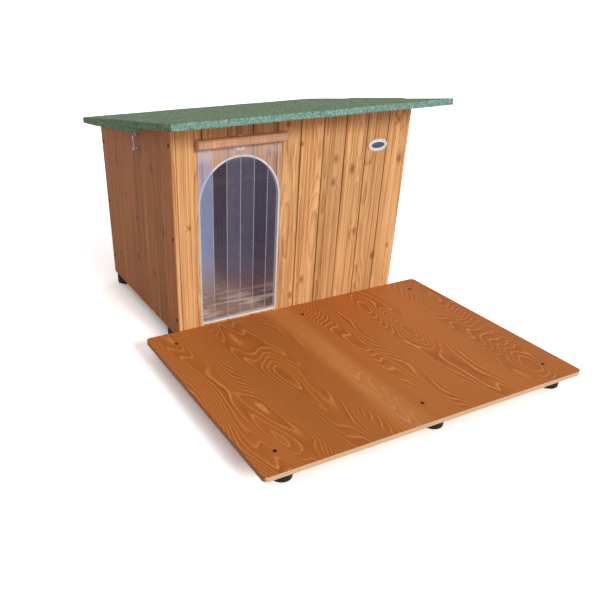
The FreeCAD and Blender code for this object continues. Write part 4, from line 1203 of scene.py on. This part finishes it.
# %% Oval plate
PLATE_STEPS = 96
PLATE_RINGS = (
    (1.0, 0.0), (1.0, 0.0006), (0.985, 0.0011), (0.95, 0.0015), (0.90, 0.0015), (0.87, 0.0011),
    (0.85, 0.0009), (0.80, 0.0009), (0.78, 0.0010), (0.4, 0.0012), (0.001, 0.0012),
)
LINE_RING = 6
FIELD_RINGS = ((0.72, 0.52, 0.0008), (0.72, 0.52, 0.0014), (0.69, 0.48, 0.0016), (0.001, 0.001, 0.0016))
plate_low, plate_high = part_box("oval_plate")
plate_middle = (plate_low + plate_high) / 2
plate_half = (plate_high - plate_low) / 2


def ovals(rings):
    """Nested ovals on the plate, from (share of the width, share of the height, how proud) rings."""
    for wide, tall, proud in rings:
        for step in range(PLATE_STEPS):
            angle = 2 * math.pi * step / PLATE_STEPS
            yield (
                plate_middle.x + plate_half.x * wide * math.cos(angle),
                plate_high.y - proud,
                plate_middle.z + plate_half.z * tall * math.sin(angle),
            )


points = [*ovals((share, share, proud) for share, proud in PLATE_RINGS)]
field_points = len(points)
points += ovals(FIELD_RINGS)
faces = [*ring_faces(len(PLATE_RINGS), PLATE_STEPS), tuple(range(PLATE_STEPS))]
field_faces = len(faces)
faces += ring_faces(len(FIELD_RINGS), PLATE_STEPS, field_points)
faces.append(tuple(range(field_points, field_points + PLATE_STEPS)))
dark_faces = [
    *range(LINE_RING * PLATE_STEPS, (LINE_RING + 1) * PLATE_STEPS),
    *range(field_faces, len(faces)),
]
piece("blank_oval_plate", points, faces, [plate_enamel, plate_line], "kennel", "oval_plate",
      second=dark_faces)

# %% [markdown]
# ## The floor
#
# The picture is a cut-out on white with a faint shadow. A pale floor takes the shadow, and only the
# camera sees it lifted to white, so no extra light falls on the kennel. More lamps would whiten the
# floor too, but they would wash out the wood.

# %% Floor
FLOOR_HALF, FLOOR_DROP = 30.0, 0.0002
FLOOR_PALE, FLOOR_WHITE = (0.74, 0.74, 0.74, 1), (2.0, 1.99, 2.0, 1)
floor_finish = Finish("pale_floor", None, Roughness=0.9, Specular_IOR_Level=0.1)
seen_directly = floor_finish.node("ShaderNodeLightPath", output="Is Camera Ray")
speckle = floor_finish.noise(floor_finish.point, 3, 3)
paper = floor_finish.blend(seen_directly, FLOOR_PALE, FLOOR_WHITE)
floor_finish.tree.nodes.remove(floor_finish.shader)
paper = floor_finish.scaled(paper, 0.98 + speckle * 0.04)
plain = floor_finish.node("ShaderNodeBsdfDiffuse", {}, {"Color": paper})
output = floor_finish.tree.nodes["Material Output"]
floor_finish.tree.links.new(plain.socket, output.inputs["Surface"])
floor_mesh = bpy.data.meshes.new("floor")
corners = [(x * FLOOR_HALF, y * FLOOR_HALF, -FLOOR_DROP) for x, y in ((-1, -1), (1, -1), (1, 1), (-1, 1))]
floor_mesh.from_pydata(corners, [], [(0, 1, 2, 3)])
floor_mesh.materials.append(floor_finish.material)
floor = bpy.data.objects.new("floor", floor_mesh)
scene.collection.objects.link(floor)
print("floor laid")

# %% [markdown]
# ## The sky
#
# An even white sky fills the shade. It lights the kennel at about half strength, while the camera,
# glossy metal and clear vinyl see it at full white: three kinds of ray are picked out, and any of
# them turns the strength up.

# %% Sky
SKY_LEVEL, SKY_SEEN = 0.55, 1.0
world = bpy.data.worlds.new("sky")
scene.world = world
world.use_nodes = True
links, nodes = world.node_tree.links, world.node_tree.nodes
rays = nodes.new("ShaderNodeLightPath").outputs
seen = rays["Is Camera Ray"]
for kind in ("Is Glossy Ray", "Is Transmission Ray"):
    either = nodes.new("ShaderNodeMath")
    either.operation = "MAXIMUM"
    links.new(seen, either.inputs[0])
    links.new(rays[kind], either.inputs[1])
    seen = either.outputs[0]
strength = nodes.new("ShaderNodeMapRange")
strength.inputs["To Min"].default_value = SKY_LEVEL
strength.inputs["To Max"].default_value = SKY_SEEN
links.new(seen, strength.inputs["Value"])
nodes["Background"].inputs["Color"].default_value = (1, 1, 1, 1)
links.new(strength.outputs[0], nodes["Background"].inputs["Strength"])
print("sky at", SKY_LEVEL)

# %% [markdown]
# ## The key lamp
#
# One broad sun stands to the front right, so the front is bright and the left wall falls into shade.
# Its disc is wide, which softens the shadows' edges. An area lamp gives the same softness, but its
# light fades with distance and would leave the terrace brighter than the house.

# %% Key lamp
KEY_FROM = Vector((0.9, -5.0, 2.45))
KEY_STRENGTH, KEY_SPREAD = 2.0, math.radians(20)
sun = bpy.data.lights.new("key_lamp", "SUN")
sun.energy = KEY_STRENGTH
sun.angle = KEY_SPREAD
key = bpy.data.objects.new("key_lamp", sun)
key.matrix_world = aimed(KEY_FROM, -KEY_FROM.normalized())
scene.collection.objects.link(key)
print("one broad, even key lamp")
